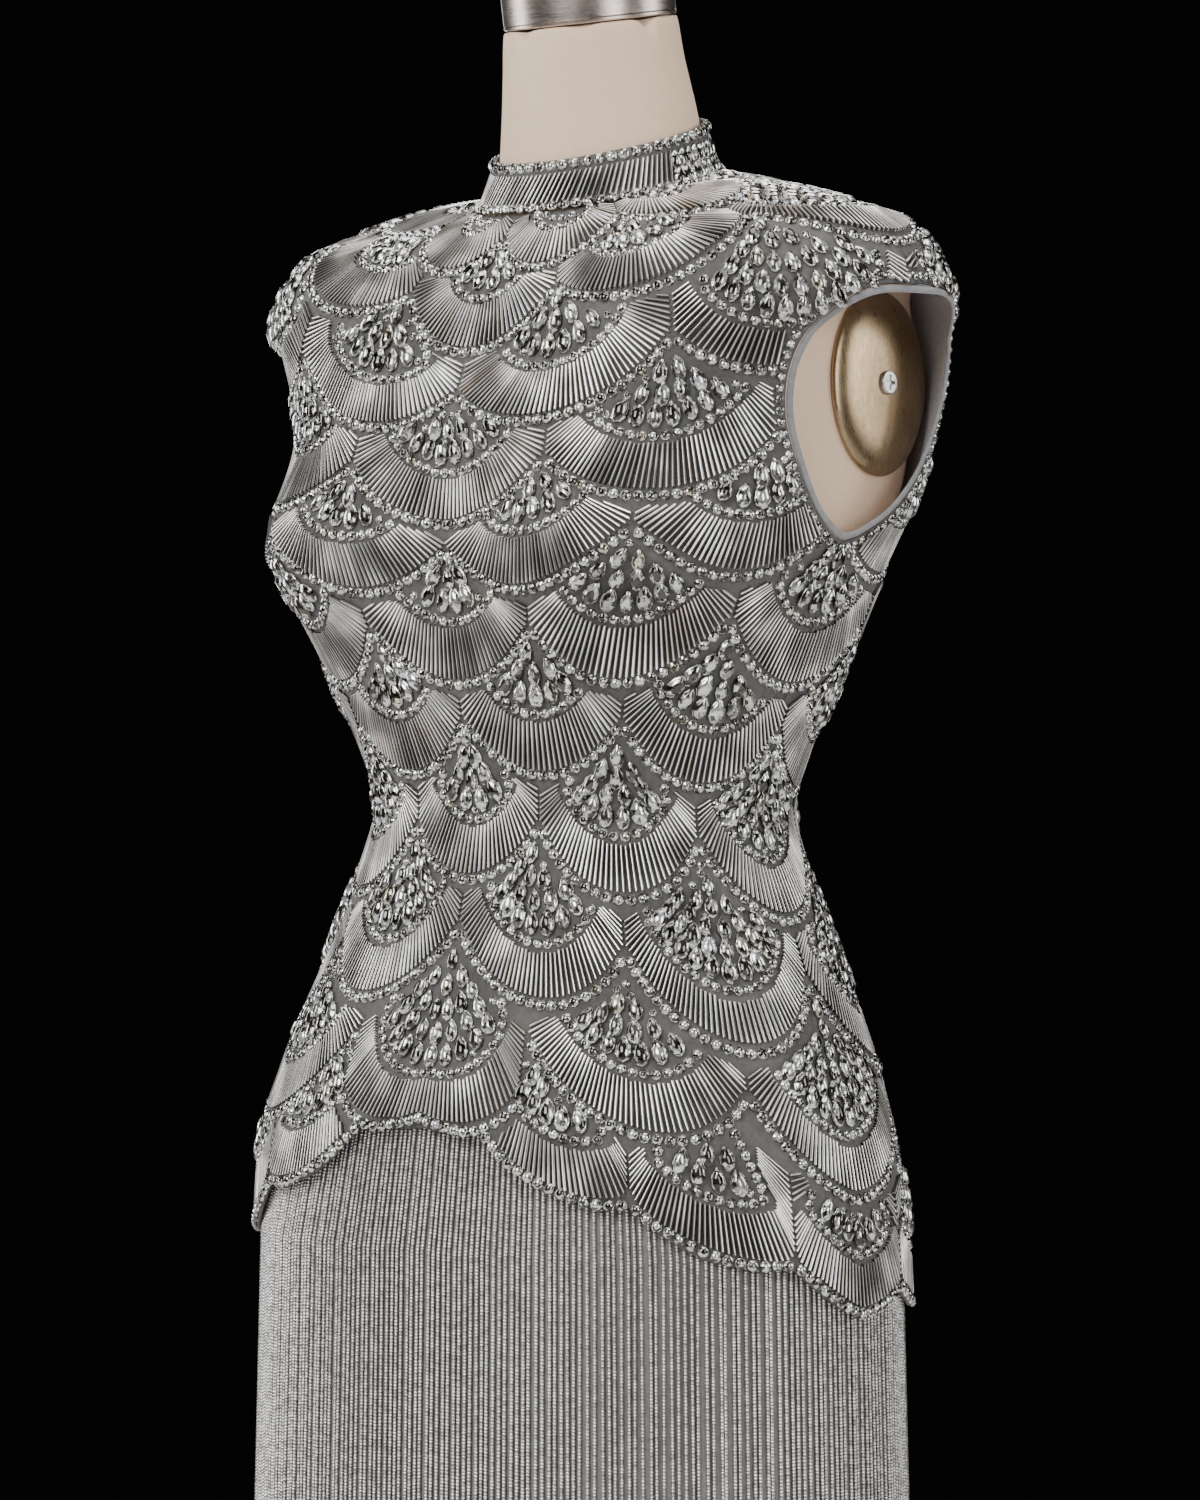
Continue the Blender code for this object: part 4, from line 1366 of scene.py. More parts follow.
    def _ends(self, row: FanRow, angle: Array) -> tuple[Array, Array]:
        """The rings of a row's upper and lowest points at each angle."""
        if row is not self.hem_row:
            lift = self.tunic.front_lift
            return row.apex - lift(row.apex, angle), row.foot - lift(row.foot, angle)
        angles, apex, foot = self.hem_lines
        turned = (angle + math.pi) % TURN - math.pi
        lift = self.tunic.front_lift(HEM_RING, turned)
        return np.interp(turned, angles, apex) - lift, np.interp(turned, angles, foot) - lift

    def _round(self, row: FanRow) -> Array:
        """The row's even share of its length at each stored angle."""
        if row is self.hem_row:
            return self.shape.even(HEM_RING - 1.5)
        return self.shape.even(float(np.clip((row.apex + row.foot) / 2, 0.3, HEM_RING)))

    def _place(self, fan: Fan, across: Array, down: Array) -> tuple[Array, Array]:
        """Rings and angles from a fan's own coordinates."""
        row = fan.row
        share = (fan.centre + across * 0.5 / row.count) % 1.0
        angle = np.interp(share, self.rounds[row], self.shape.angles)
        apex, foot = self._ends(row, angle)
        return apex + down * (foot - apex), angle

    def _inside_upper(self, rows: Sequence[FanRow], ring: Array, angle: Array, cover: float) -> Array:
        """Whether points lie under a fan of the rows above."""
        hidden = np.zeros(len(ring), bool)
        turned = (angle + math.pi) % TURN - math.pi
        for row in rows:
            share = np.interp(turned, self.shape.angles, self.rounds[row])
            phase = (share - 0.5) * row.count + (0.0 if row.on_centre else 0.5)
            number = np.round(phase)
            across = 2 * (phase - number)
            apex, foot = self._ends(row, angle)
            down = (ring - apex) / (foot - apex)
            inside = (across / row.flat) ** 2 + np.maximum(down, 0) ** 2 < cover**2
            if row.skip_centre:
                inside &= number != 0
            if row.only_centre:
                inside &= number == 0
            hidden |= inside
        return hidden

    def _keep(self, rows: Sequence[FanRow], ring: Array, angle: Array, margin: float, cover: float) -> Array:
        """Whether beads at these places show: on the cloth and not under a fan above."""
        kept = (ring > 0.12) & (ring < HEM_RING + 1.2)
        kept &= ~self.armholes.inside(ring, angle, margin)
        kept &= ~self._inside_upper(rows, ring, angle, cover)
        return kept

    def _set(self, gem: Gem, angle: float) -> BeadSet:
        """The bead set for a kind and a half of the tunic."""
        half = "front" if math.cos(angle) > 0 else "back"
        if (gem, half) not in self.sets:
            shape = {Gem.ROUND: round_stone, Gem.PEAR: pear_stone, Gem.BUGLE: bugle_tube}[gem]()
            self.sets[(gem, half)] = BeadSet(shape, smooth=gem is Gem.BUGLE)
        return self.sets[(gem, half)]

    def _lay(self, gem: Gem, ring: Array, angle: Array, along: Array, size: Array, lift: float) -> None:
        """Adds beads at places of the surface, split between front and back."""
        points = self.shape.point(ring, angle)
        facing = self.shape.outward(ring, angle)
        at = points + facing * (self.tunic.thick + lift)
        size = np.broadcast_to(np.asarray(size, float), (len(ring), 3))
        for half in (True, False):
            chosen = (np.cos(angle) > 0) == half
            if chosen.any():
                beads = self._set(gem, 0.0 if half else math.pi)
                beads.add(at[chosen], along[chosen], facing[chosen], size[chosen])

    def _line(self, fan: Fan, marks: Array, pitch: float) -> tuple[Array, Array]:
        """Evenly spaced places along a line in a fan's own coordinates.

        Args:
            fan: the fan.
            marks: the line's points, across and down.
            pitch: the spacing on the cloth.

        Returns:
            The places across and down, and the line's direction there.
        """
        lengths = walked(self.shape.point(*self._place(fan, *marks.T)))
        count = max(int(round(lengths[-1] / pitch)), 1)
        wanted = (np.arange(count) + 0.5) * lengths[-1] / count
        places, ahead, behind = (
            np.stack([np.interp(wanted + step, lengths, marks[:, k]) for k in range(2)], axis=1)
            for step in (0.0, 0.0005, -0.0005)
        )
        along = self.shape.point(*self._place(fan, *ahead.T))
        return places, along - self.shape.point(*self._place(fan, *behind.T))

    @staticmethod
    def _arc(fan: Fan, share: float, turns: Array) -> Array:
        """Points across and down of an arc about a fan's upper point."""
        return np.stack([share * fan.row.flat * np.sin(turns), share * np.cos(turns)], axis=1)

    def _planned(self, fan: Fan, dice: np.random.Generator) -> Fan:
        """The fan with its height and its wedge's height and turn."""
        middle = self._place(fan, np.zeros(9), np.linspace(0.0, 1.0, 9))
        high = float(walked(self.shape.point(*middle))[-1])
        spread = float(dice.uniform(*self.wedge_turns)) / (fan.row.flat / FanRow.flat)
        inner = self.inner_share + float(dice.uniform(-self.inner_uneven, self.inner_uneven))
        inner = max(inner, self.edge_share - self.band_most / high)
        return replace(fan, high=high, spread=spread, inner=inner)

    def _fan(self, fan: Fan, dice: np.random.Generator) -> None:
        """Lays one fan's beads: its edge, its wedge with what fills it, and its bugles."""
        widest = math.asin(min(1.0 / fan.row.flat, 1.0))
        edge = self._arc(fan, self.edge_share, np.linspace(-widest, widest, 61))
        self._stones(fan, edge, self.stone, self.edge_cover)
        bottom = self._arc(fan, fan.inner, np.linspace(-fan.spread, fan.spread, 41))
        sides = np.linspace(*self.wedge_sides, 12)[:, None]
        wedge = np.concatenate([sides * bottom[:1], bottom[2:-2], sides[::-1] * bottom[-1:]])
        taken = self._stones(fan, wedge, self.stone * self.wedge_stone, self.wedge_cover)

        first = fan.inner - (self.stone / 2 + self.pear_long * self.pear_seat) / fan.high
        for number, share in enumerate(np.arange(first, self.wedge_top, -self.pear_down / fan.high)):
            reach = max(fan.spread - self.side_room / share, self.least_turn)
            arc = self._arc(fan, share, np.linspace(-reach, reach, 31))
            places, _ = self._line(fan, arc, self.pear_across)
            ring, angle = self._place(fan, *places.T)
            along = self.shape.point(*self._place(fan, *(places.T * 0.8))) - self.shape.point(ring, angle)
            kept = self._keep(fan.above, ring, angle, self.pear_margin, self.pear_cover)
            count = int(kept.sum())
            length = 1.0 - self.pear_shrink * number
            least, more = self.pear_lengths
            long = self.pear_long * length * (least + more * dice.random(count))
            least, more = self.pear_widths
            wide = long * (least + more * dice.random(count))
            size = np.stack([wide, long, long * self.pear_high], axis=1)
            self._lay(Gem.PEAR, ring[kept], angle[kept], along[kept], size, self.pear_lift)
            taken += [(spot, self.pear_reach) for spot in self.shape.point(ring[kept], angle[kept])]
        self._fill(fan, taken)
        self._bugles(fan, dice)

    def _fill(self, fan: Fan, taken: list[tuple[Array, float]]) -> None:
        """Fills a wedge's free places with small round stones.

        Args:
            fan: the fan.
            taken: the stones already there, each a place and a radius.
        """
        size, turns = (self.fill_stone,) * 3, np.linspace(-fan.spread, fan.spread, 31)
        for share in np.arange(fan.inner, fan.inner * self.wedge_top, -self.fill_step / fan.high):
            places, along = self._line(fan, self._arc(fan, float(share), turns), self.fill_step)
            ring, angle = self._place(fan, *places.T)
            kept = self._keep(fan.above, ring, angle, self.margin, self.fill_cover)
            points = self.shape.point(ring, angle)
            for number in np.flatnonzero(kept):
                gaps = [float(np.linalg.norm(points[number] - spot)) - reach for spot, reach in taken]
                if min(gaps, default=1.0) > self.fill_stone / 2:
                    taken.append((points[number], self.fill_stone / 2))
                    one = slice(number, number + 1)
                    self._lay(Gem.ROUND, ring[one], angle[one], along[one], size, 0.0)

    def _stones(self, fan: Fan, line: Array, size: float, cover: float) -> list[tuple[Array, float]]:
        """Lays round stones along a line of a fan, and gives each one's place and radius."""
        places, along = self._line(fan, line, self.stone_pitch * size / self.stone)
        ring, angle = self._place(fan, *places.T)
        kept = self._keep(fan.above, ring, angle, self.margin, cover)
        self._lay(Gem.ROUND, ring[kept], angle[kept], along[kept], (size,) * 3, 0.0)
        return [(spot, size / 2) for spot in self.shape.point(ring[kept], angle[kept])]

    def _bugle_lines(self, fan: Fan) -> tuple[Array, Array]:
        """The places across and down along each bugle's line, from the fan's rim inwards."""
        widest = math.asin(min(self.rim_across / fan.row.flat, 1.0))
        arc = self._arc(fan, self.edge_share - self.band_gap, np.linspace(-widest, widest, 61))
        heights = np.linspace(self.side_from, arc[-1, 1], 10)[:-1]
        side = np.stack([np.full(9, self.rim_across), heights], axis=1)
        rim = np.concatenate([side * (-1, 1), arc, side[::-1]])
        rim, _ = self._line(fan, rim, self.bugle_pitch)
        middle, more = self.aim_down
        aim = np.stack([rim[:, 0] * self.aim_across, middle + more * np.abs(rim[:, 0])], axis=1)
        shares = np.linspace(0, 1, 64)
        across = rim[:, :1] + (aim[:, :1] - rim[:, :1]) * shares
        return across, rim[:, 1:] + (aim[:, 1:] - rim[:, 1:]) * shares

    def _bugles(self, fan: Fan, dice: np.random.Generator) -> None:
        """Lays one fan's bugles from its rim towards its upper point."""
        across, down = self._bugle_lines(fan)
        ring, angle = self._place(fan, across.reshape(-1), down.reshape(-1))
        from_top = np.hypot(across / fan.row.flat, down)
        turn = np.arctan2(np.abs(across) / fan.row.flat, down)
        in_wedge = from_top < fan.inner + self.band_gap
        in_wedge &= turn < fan.spread + self.band_gap / np.maximum(from_top, 0.1)
        free = self._keep(fan.above, ring, angle, self.margin, self.pear_cover)
        free = free.reshape(across.shape) & ~in_wedge
        points = self.shape.point(ring, angle).reshape(*across.shape, 3)
        apart = np.linalg.norm(np.diff(points, axis=0, prepend=points[1:2]), axis=2)
        free &= apart >= self.crowd
        ring, angle = ring.reshape(across.shape), angle.reshape(across.shape)
        for number in range(len(across)):
            valid = np.flatnonzero(free[number])
            if not len(valid):
                continue
            runs = np.split(valid, np.flatnonzero(np.diff(valid) > 1) + 1)
            run = max(runs, key=len)
            steps = np.linalg.norm(points[number, run] - points[number, run[0]], axis=1)
            run = run[steps <= self.bugle_most * dice.uniform(0.94, 1.0)]
            low, top = points[number, run[0]], points[number, run[-1]]
            span = float(np.linalg.norm(top - low))
            if span < self.bugle_least:
                continue
            nearest = run[len(run) // 2]
            one = slice(nearest, nearest + 1)
            way = self.shape.outward(ring[number, one], angle[number, one])
            middle = (low + top) / 2
            lift = float(((points[number, nearest] - middle) * way).sum())
            at = middle[None, :] + way * (max(lift, 0.0) + self.tunic.thick + self.bugle * self.bugle_seat)
            beads = self._set(Gem.BUGLE, float(angle[number, nearest]))
            beads.add(at, (low - top)[None, :], way, (self.bugle, span, self.bugle))

    def build(self, finishes: Finishes) -> list[Piece]:
        """Lays every fan and joins the beads."""
        dice = np.random.default_rng(11)
        order = [*self.rows, self.hem_row]
        for number, row in enumerate(order):
            above = order[max(number - 3, 0) : number]
            for index in range(row.count):
                if (row.skip_centre and index == 0) or (row.only_centre and index > 0):
                    continue
                centre = 0.5 + (index + (0.0 if row.on_centre else 0.5)) / row.count
                self._fan(self._planned(Fan(row, above, centre), dice), dice)
        made = []
        for seed, ((gem, half), beads) in enumerate(self.sets.items()):
            materials = ("bugle_glass",) if gem is Gem.BUGLE else ("crystal", "cup_silver")
            piece = beads.build(f"tunic_{gem.value}_{half}", 20 + seed)
            made.append(finishes.dress(piece, "beaded_cloth", *materials))
        return made


# Collar and armholes


@dataclass
class Collar:
    """The stand-up band: cloth, two stone rows, slanted bugles and side clusters.

    Attributes:
        rings: height at front and back, radius and centre of each level, foot to top.
        thick: the band's thickness.
        stone: the stones' diameter.
        bugle: the bugles' diameter.
        pitch: the spacing of bugles.
        cluster: the angles between which a side cluster lies.
        lean: how far a bugle's top leans round, in metres.
        stone_pitch: the spacing of stones.
        stone_levels: the two stone rows' levels.
        bugle_levels: the levels of the bugles' ends.
        pear_levels: the levels of a cluster's pears.
        middle_level: the level of its stones, and of the bugles' middles.
        pear_long: a pear's length.
        pear_lift: how high its foot is over the band.
        tilt: how far a pear may lean either way.
        small_stone: a cluster's stone for a row's.
        across: how many steps go round the band, and up it.
    """

    rings: Sequence[tuple[float, float, float, float]] = (
        (1.3580, 1.3905, 0.0665, 0.0172),
        (1.3625, 1.3955, 0.0625, 0.0172),
        (1.3720, 1.4050, 0.0592, 0.0174),
        (1.3850, 1.4190, 0.0572, 0.0170),
    )
    thick: float = 0.0013
    stone: float = 0.0062
    stone_pitch: float = 0.0065
    bugle: float = 0.0019
    pitch: float = 0.0029
    cluster: tuple[float, float] = (1.42, 2.05)
    lean: float = 0.0065
    stone_levels: tuple[float, float] = (0.10, 0.93)
    bugle_levels: tuple[float, float] = (0.20, 0.845)
    pear_levels: tuple[float, float] = (0.36, 0.67)
    middle_level: float = 0.52
    pear_long: float = 0.0125
    pear_lift: float = 0.0012
    tilt: float = 0.7
    small_stone: float = 0.85
    across: tuple[int, int] = (128, 12)

    def point(self, level: Array, angle: Array, out: float = 0.0) -> Array:
        """Points of the band at levels from 0, its foot, to 1, its top."""
        level, angle = np.broadcast_arrays(np.asarray(level, float), np.asarray(angle, float))
        table = np.array(self.rings)
        place = level * (len(table) - 1)
        numbers = np.arange(len(table))
        front, back, radius, centre = (np.interp(place, numbers, column) for column in table.T)
        radius = radius + out
        height = (front + back) / 2 + (front - back) / 2 * np.cos(angle)
        return np.stack([radius * np.sin(angle), centre - radius * np.cos(angle), height], axis=1)

    def build(self, finishes: Finishes) -> list[Piece]:
        """Makes the band and its beading."""
        columns, rows = self.across
        half = math.pi - self.thick / 4 / self.rings[0][2]
        angles = np.linspace(-half, half, columns + 1)
        grid = np.stack([self.point(np.full(columns + 1, k / rows), angles) for k in range(rows + 1)])
        band = grid_sheet("collar", grid, self.thick)
        finishes.dress(band, "beaded_cloth", "net_ground")
        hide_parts("collar_band")

        stones = BeadSet(round_stone())
        bugles = BeadSet(bugle_tube(), smooth=True)
        pears = BeadSet(pear_stone())
        dice = np.random.default_rng(5)
        for level in self.stone_levels:
            radius = float(np.interp(level * 3, np.arange(4), np.array(self.rings)[:, 2]))
            count = int(TURN * radius / self.stone_pitch)
            turns = (np.arange(count) + 0.5) / count * TURN - math.pi
            at, facing, around = self._frame(np.full(count, level), turns)
            stones.add(at, around, facing, (self.stone,) * 3)
        count = int(TURN * self.rings[2][2] / self.pitch)
        turns = (np.arange(count) + 0.5) / count * TURN - math.pi
        turns = turns + dice.normal(0, 0.003, count)
        lean = self.lean / self.rings[2][2] * np.clip(np.cos(turns * 0.8), 0.1, 1)
        low, _, _ = self._frame(np.full(count, self.bugle_levels[0]), turns - lean / 2)
        top, _, _ = self._frame(np.full(count, self.bugle_levels[1]), turns + lean / 2)
        middle, facing, _ = self._frame(np.full(count, self.middle_level), turns)
        middle = (low + top) / 2 * 0.3 + middle * 0.7
        clear = (np.abs(turns) < self.cluster[0] - 0.05) | (np.abs(turns) > self.cluster[1] + 0.05)
        lengths = np.linalg.norm(top - low, axis=1)
        size = np.stack([np.full(count, self.bugle), lengths, np.full(count, self.bugle)], axis=1)
        at = middle + facing * self.bugle * 0.5
        bugles.add(at[clear], (top - low)[clear], facing[clear], size[clear])
        for side in (-1, 1):
            for share in np.linspace(0.0, 1.0, 8):
                turn = self.cluster[0] + share * (self.cluster[1] - self.cluster[0])
                for level in self.pear_levels:
                    at, facing, around = self._frame(np.array([level]), np.array([side * turn]))
                    spin = dice.uniform(-self.tilt, self.tilt)
                    up = np.array([[0.0, 0.0, 1.0]]) + around * side * spin
                    long = self.pear_long * dice.uniform(0.85, 1.0)
                    pears.add(at + facing * self.pear_lift, up, facing, (long, long, long * 0.95))
                beside = np.array([side * (turn + 0.045)])
                at, facing, around = self._frame(np.array([self.middle_level]), beside)
                stones.add(at, around, facing, (self.stone * self.small_stone,) * 3)
        return [
            finishes.dress(stones.build("collar_stones", 41), "beaded_cloth", "crystal", "cup_silver"),
            finishes.dress(bugles.build("collar_bugles", 42), "beaded_cloth", "bugle_glass"),
            finishes.dress(pears.build("collar_pears", 43), "beaded_cloth", "crystal", "cup_silver"),
            band,
        ]

    def _frame(self, level: Array, angle: Array) -> tuple[Array, Array, Array]:
        """Points on the band's face, their outward and their round directions."""
        at = self.point(level, angle, self.thick)
        around = self.point(level, angle + 0.01) - self.point(level, angle - 0.01)
        up = self.point(np.clip(level + 0.05, 0, 1), angle) - self.point(np.clip(level - 0.05, 0, 1), angle)
        facing = np.cross(around, up)
        facing = facing / np.linalg.norm(facing, axis=1)[:, None]
        return at, facing, around


@dataclass
class ArmholeEdges:
    """The plain binding of each armhole and the stones along its edge.

    Attributes:
        shape: the tunic's surface.
        armholes: the openings.
        wide: the binding's width.
        thick: its thickness.
        stone: the stones' diameter.
        stone_pitch: their spacing.
        stone_outset: how far out from the opening they lie.
        stone_lift: how high their feet are over the surface.
        seat: how far the binding's loop lies into the opening and out of the surface.
    """

    shape: TorsoShape
    armholes: Armholes
    wide: float = 0.0045
    thick: float = 0.0024
    stone: float = 0.0050
    stone_pitch: float = 0.0060
    stone_outset: float = 0.0030
    stone_lift: float = 0.0014
    seat: tuple[float, float] = (0.0006, 0.0007)

    def _loop(self, outset: float, steps: int = 60) -> tuple[Array, Array, Array]:
        """Points round the left armhole, their outward directions and those into the opening."""
        span = self.armholes.bottom - self.armholes.top
        rings = self.armholes.top + span * (1 - np.cos(np.linspace(0, math.pi, steps))) / 2
        front = [(float(ring), self.armholes.edge(float(ring), -1, outset)) for ring in rings]
        back = [(float(ring), self.armholes.edge(float(ring), 1, outset)) for ring in rings[::-1]]
        stations = np.array(front + back[1:-1])
        reach = outset / RING_STEP
        lean = np.cos((stations[:, 0] - self.armholes.top) / span * math.pi)
        rings_at = stations[:, 0] - lean * reach
        points = self.shape.point(rings_at, stations[:, 1])
        facing = self.shape.outward(rings_at, stations[:, 1])
        halfway = np.array([(self.armholes.top + self.armholes.bottom) / 2])
        middle = self.shape.point(halfway, np.array([math.pi / 2]))
        inwards = middle - points
        inwards -= facing * (inwards * facing).sum(axis=1)[:, None]
        inwards /= np.linalg.norm(inwards, axis=1)[:, None]
        return points, facing, inwards

    def build(self, finishes: Finishes) -> list[Piece]:
        """Makes both bindings and their stones."""
        made = []
        points, facing, inwards = self._loop(0.0)
        turns = np.linspace(0, TURN, 10, endpoint=False)
        profile = [(0.5 + 0.35 * math.cos(turn) * 1.35, 0.5 * math.sin(turn)) for turn in turns]
        for name, mirror in (("left", 1), ("right", -1)):
            flip = np.array([mirror, 1, 1])
            bm = bmesh.new()
            loops = []
            for centre, out_way, in_way in zip(points * flip, facing * flip, inwards * flip):
                start = centre + in_way * self.seat[0] + out_way * self.seat[1]
                ring = []
                for along, out in profile:
                    spot = start + in_way * (self.wide * along) + out_way * (self.thick * out)
                    ring.append(bm.verts.new(spot))
                edges = [bm.edges.new((ring[k], ring[(k + 1) % len(ring)])) for k in range(len(ring))]
                loops.append(edges)
            for here, following in zip(loops, loops[1:] + loops[:1]):
                bmesh.ops.bridge_loops(bm, edges=here + following)
            laid = bm.loops.layers.uv.new("cloth")
            for face in bm.faces:
                for loop in face.loops:
                    loop[laid].uv = (loop.vert.co.y + loop.vert.co.x * 0.3, loop.vert.co.z)
            bmesh.ops.recalc_face_normals(bm, faces=bm.faces)
            band = store("armhole_edge_" + name, bm)
            finishes.dress(band, "binding_cloth", "binding_twill")
            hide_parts("armhole_binding_" + name)
            made.append(band)
        edge, out_way, _ = self._loop(self.stone_outset)
        closed = np.vstack([edge, edge[:1]])
        ways = np.vstack([out_way, out_way[:1]])
        lengths = walked(closed)
        count = int(lengths[-1] / self.stone_pitch)
        spots = (np.arange(count) + 0.5) * lengths[-1] / count
        at = np.stack([np.interp(spots, lengths, closed[:, k]) for k in range(3)], axis=1)
        facing = np.stack([np.interp(spots, lengths, ways[:, k]) for k in range(3)], axis=1)
        later = np.stack([np.interp(spots + 0.001, lengths, closed[:, k]) for k in range(3)], axis=1)
        stones = BeadSet(round_stone())
        for mirror in (1, -1):
            flip = np.array([mirror, 1, 1])
            seats = at + facing * self.stone_lift
            stones.add(seats * flip, (later - at) * flip, facing * flip, (self.stone,) * 3)
        piece = stones.build("armhole_stones", 51)
        made.append(finishes.dress(piece, "beaded_cloth", "crystal", "cup_silver"))
        return made


# Skirt and fringe


@dataclass
class Skirt:
    """The plain underskirt in two panels, and the strands that hang over it.

    Attributes:
        shape: the torso that gives its plan.
        levels: the heights between which it is straight, foot to top.
        hem: the underskirt's hem.
        thick: the underskirt's thickness.
        strands: how many strings go round.
        strand: a string's diameter.
        step: how far the underskirt lies inside the torso's shape.
        strand_out: how far a string's middle is out from the underskirt's inner face.
        strand_levels: the heights of a string's points, top to end.
        sides: how many sides a string has.
        seam: half the gap between the panels, as an angle.
        uneven: how much chance shifts a string, in spacings.
        sway: how much chance bends it at each of its points, in metres.
        sway_radius: the skirt's radius that turns this into an angle.
        end_uneven: how much the strings' ends differ in height.
    """

    shape: TorsoShape
    levels: Sequence[float] = (0.242, 0.800, 0.893, 0.925)
    hem: float = 0.270
    step: float = 0.0055
    thick: float = 0.0013
    strands: int = 288
    strand: float = 0.0019
    strand_out: float = 0.00315
    strand_levels: Sequence[float] = (
        0.903, 0.893, 0.86, 0.80, 0.74, 0.68, 0.62, 0.54, 0.46, 0.38, 0.31, 0.243
    )
    sides: int = 5
    seam: float = 0.00075
    uneven: float = 0.07
    sway: float = 0.0003
    sway_radius: float = 0.17
    end_uneven: float = 0.004

    def point(self, angle: Array, height: float, out: float) -> Array:
        """Points at one height, out from the underskirt's inner face."""
        low = max([k for k in range(len(self.levels) - 1) if self.levels[k] <= height] or [0])
        under, over = self.levels[low], self.levels[low + 1]
        share = (height - under) / (over - under)
        points = self.shape.torso(angle, under) * (1 - share) + self.shape.torso(angle, over) * share
        way = points * np.array([1, 1, 0])
        way[:, 1] -= float(self.shape.section(np.array([height]))[0, 5])
        way /= np.linalg.norm(way, axis=1)[:, None]
        return points + way * (out - self.step)

    def build(self, finishes: Finishes) -> list[Piece]:
        """Makes the underskirt and its strands."""
        made = []
        _, bend, _, top = self.levels
        heights = np.concatenate([np.linspace(self.hem, bend, 20), np.linspace(bend, top, 8)[1:]])
        for name, middle in (("front", 0.0), ("back", math.pi)):
            angles = middle + np.linspace(-1, 1, 97) * (math.pi / 2 - self.seam)
            grid = np.stack([self.point(angles, float(height), 0.0) for height in heights])
            panel = grid_sheet("underskirt_" + name, grid, self.thick)
            finishes.dress(panel, "plain_cloth", "satin_ground")
            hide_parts("skirt_" + name)
            strands = self._strands("strands_" + name, middle)
            finishes.dress(strands, "fringe_beads", "strand_beads")
            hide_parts("fringe_" + name)
            made += [panel, strands]
        return made

    def _strands(self, name: str, middle: float) -> Piece:
        """The strings of one half, joined into one mesh.

        Args:
            name: the piece's name.
            middle: the angle of the half's middle.

        Returns:
            The strings, with a UV map whose V is the length along a string.
        """
        dice = np.random.default_rng(7 if middle == 0.0 else 8)
        count = self.strands // 2
        angles = middle - math.pi / 2 + math.pi * (np.arange(count) + 0.5) / count
        even = self._even_angles(angles, middle)
        even = even + dice.normal(0, self.uneven, count) * math.pi / count
        levels = np.array(self.strand_levels)
        sway = dice.normal(0, self.sway, (count, len(levels)))
        sway = np.cumsum(sway, axis=1) * 0.5
        rings = []
        for row, level in enumerate(levels):
            turned = even + sway[:, row] / self.sway_radius
            centre = self.point(turned, float(level), self.strand_out)
            if row == len(levels) - 1:
                centre[:, 2] = level + dice.random(count) * self.end_uneven
            rings.append(centre)
        paths = np.stack(rings, axis=1)
        bm = bmesh.new()
        bmesh.ops.create_circle(bm, segments=self.sides, radius=0.5)
        around = np.sort([math.atan2(vert.co.y, vert.co.x) for vert in bm.verts])
        bm.free()
        sides = self.sides
        radius = self.strand / 2
        out = paths[:, :, :2] / np.linalg.norm(paths[:, :, :2], axis=2)[:, :, None]
        side_way = np.stack([-out[:, :, 1], out[:, :, 0]], axis=2)
        offsets = (
            out[:, :, None, :] * np.cos(around)[None, None, :, None]
            + side_way[:, :, None, :] * np.sin(around)[None, None, :, None]
        ) * radius
        points = np.repeat(paths[:, :, None, :], sides, axis=2)
        points[..., :2] += offsets
        size = len(levels) * sides
        faces = []
        for start in range(0, size - sides, sides):
            for k in range(sides):
                here, following = start + k, start + (k + 1) % sides
                faces.append((here, here + sides, following + sides, following))
        faces.append(tuple(range(sides)))
        faces.append(tuple(reversed(range(size - sides, size))))
        mesh = joined_mesh(name, points.reshape(count, size, 3), faces)
        laid = mesh.uv_layers.new(name="cloth")
        corners = np.concatenate([np.array(face) for face in faces])
        level_of = levels[corners // sides]
        around_of = (corners % sides) / sides * 0.9
        uv = np.empty((count, len(corners), 2), np.float32)
        uv[:, :, 0] = around_of[None, :] + np.arange(count)[:, None]
        uv[:, :, 1] = level_of[None, :] + dice.random(count)[:, None] * 0.01
        laid.data.foreach_set("uv", uv.reshape(-1))
        tones = np.ones((count, size, 4), np.float32)
        tones[:, :, :3] = dice.random((count, 3))[:, None, :]
        layer = mesh.attributes.new("tone", "FLOAT_COLOR", "POINT")
        layer.data.foreach_set("color", tones.reshape(-1))
        mesh.shade_smooth()
        bm = bmesh.new()
        bm.from_mesh(mesh)
        bmesh.ops.recalc_face_normals(bm, faces=bm.faces)
        bm.to_mesh(mesh)
        bm.free()
        made = bpy.data.objects.new(name, mesh)
        bpy.context.scene.collection.objects.link(made)
        LOG.info("%s: %d strings", name, count)
        return made

    def _even_angles(self, angles: Array, middle: float) -> Array:
        """Angles of one half that are evenly spaced along the skirt."""
        fine = middle + np.linspace(-math.pi / 2, math.pi / 2, 400)
        lengths = walked(self.point(fine, 0.6, self.strand_out))
        shares = (angles - angles[0] + (angles[1] - angles[0]) / 2) / math.pi
        return np.interp(shares * lengths[-1], lengths, fine)


# The form and its stand


def merged_copy(node: str, name: str) -> Piece:
    """A copy of a CAD node with its loose triangles merged."""
    bm = bmesh.new()
    bm.from_mesh(frame["nodes"][node].data)
    bmesh.ops.remove_doubles(bm, verts=bm.verts, dist=1e-5)
    return store(name, bm)


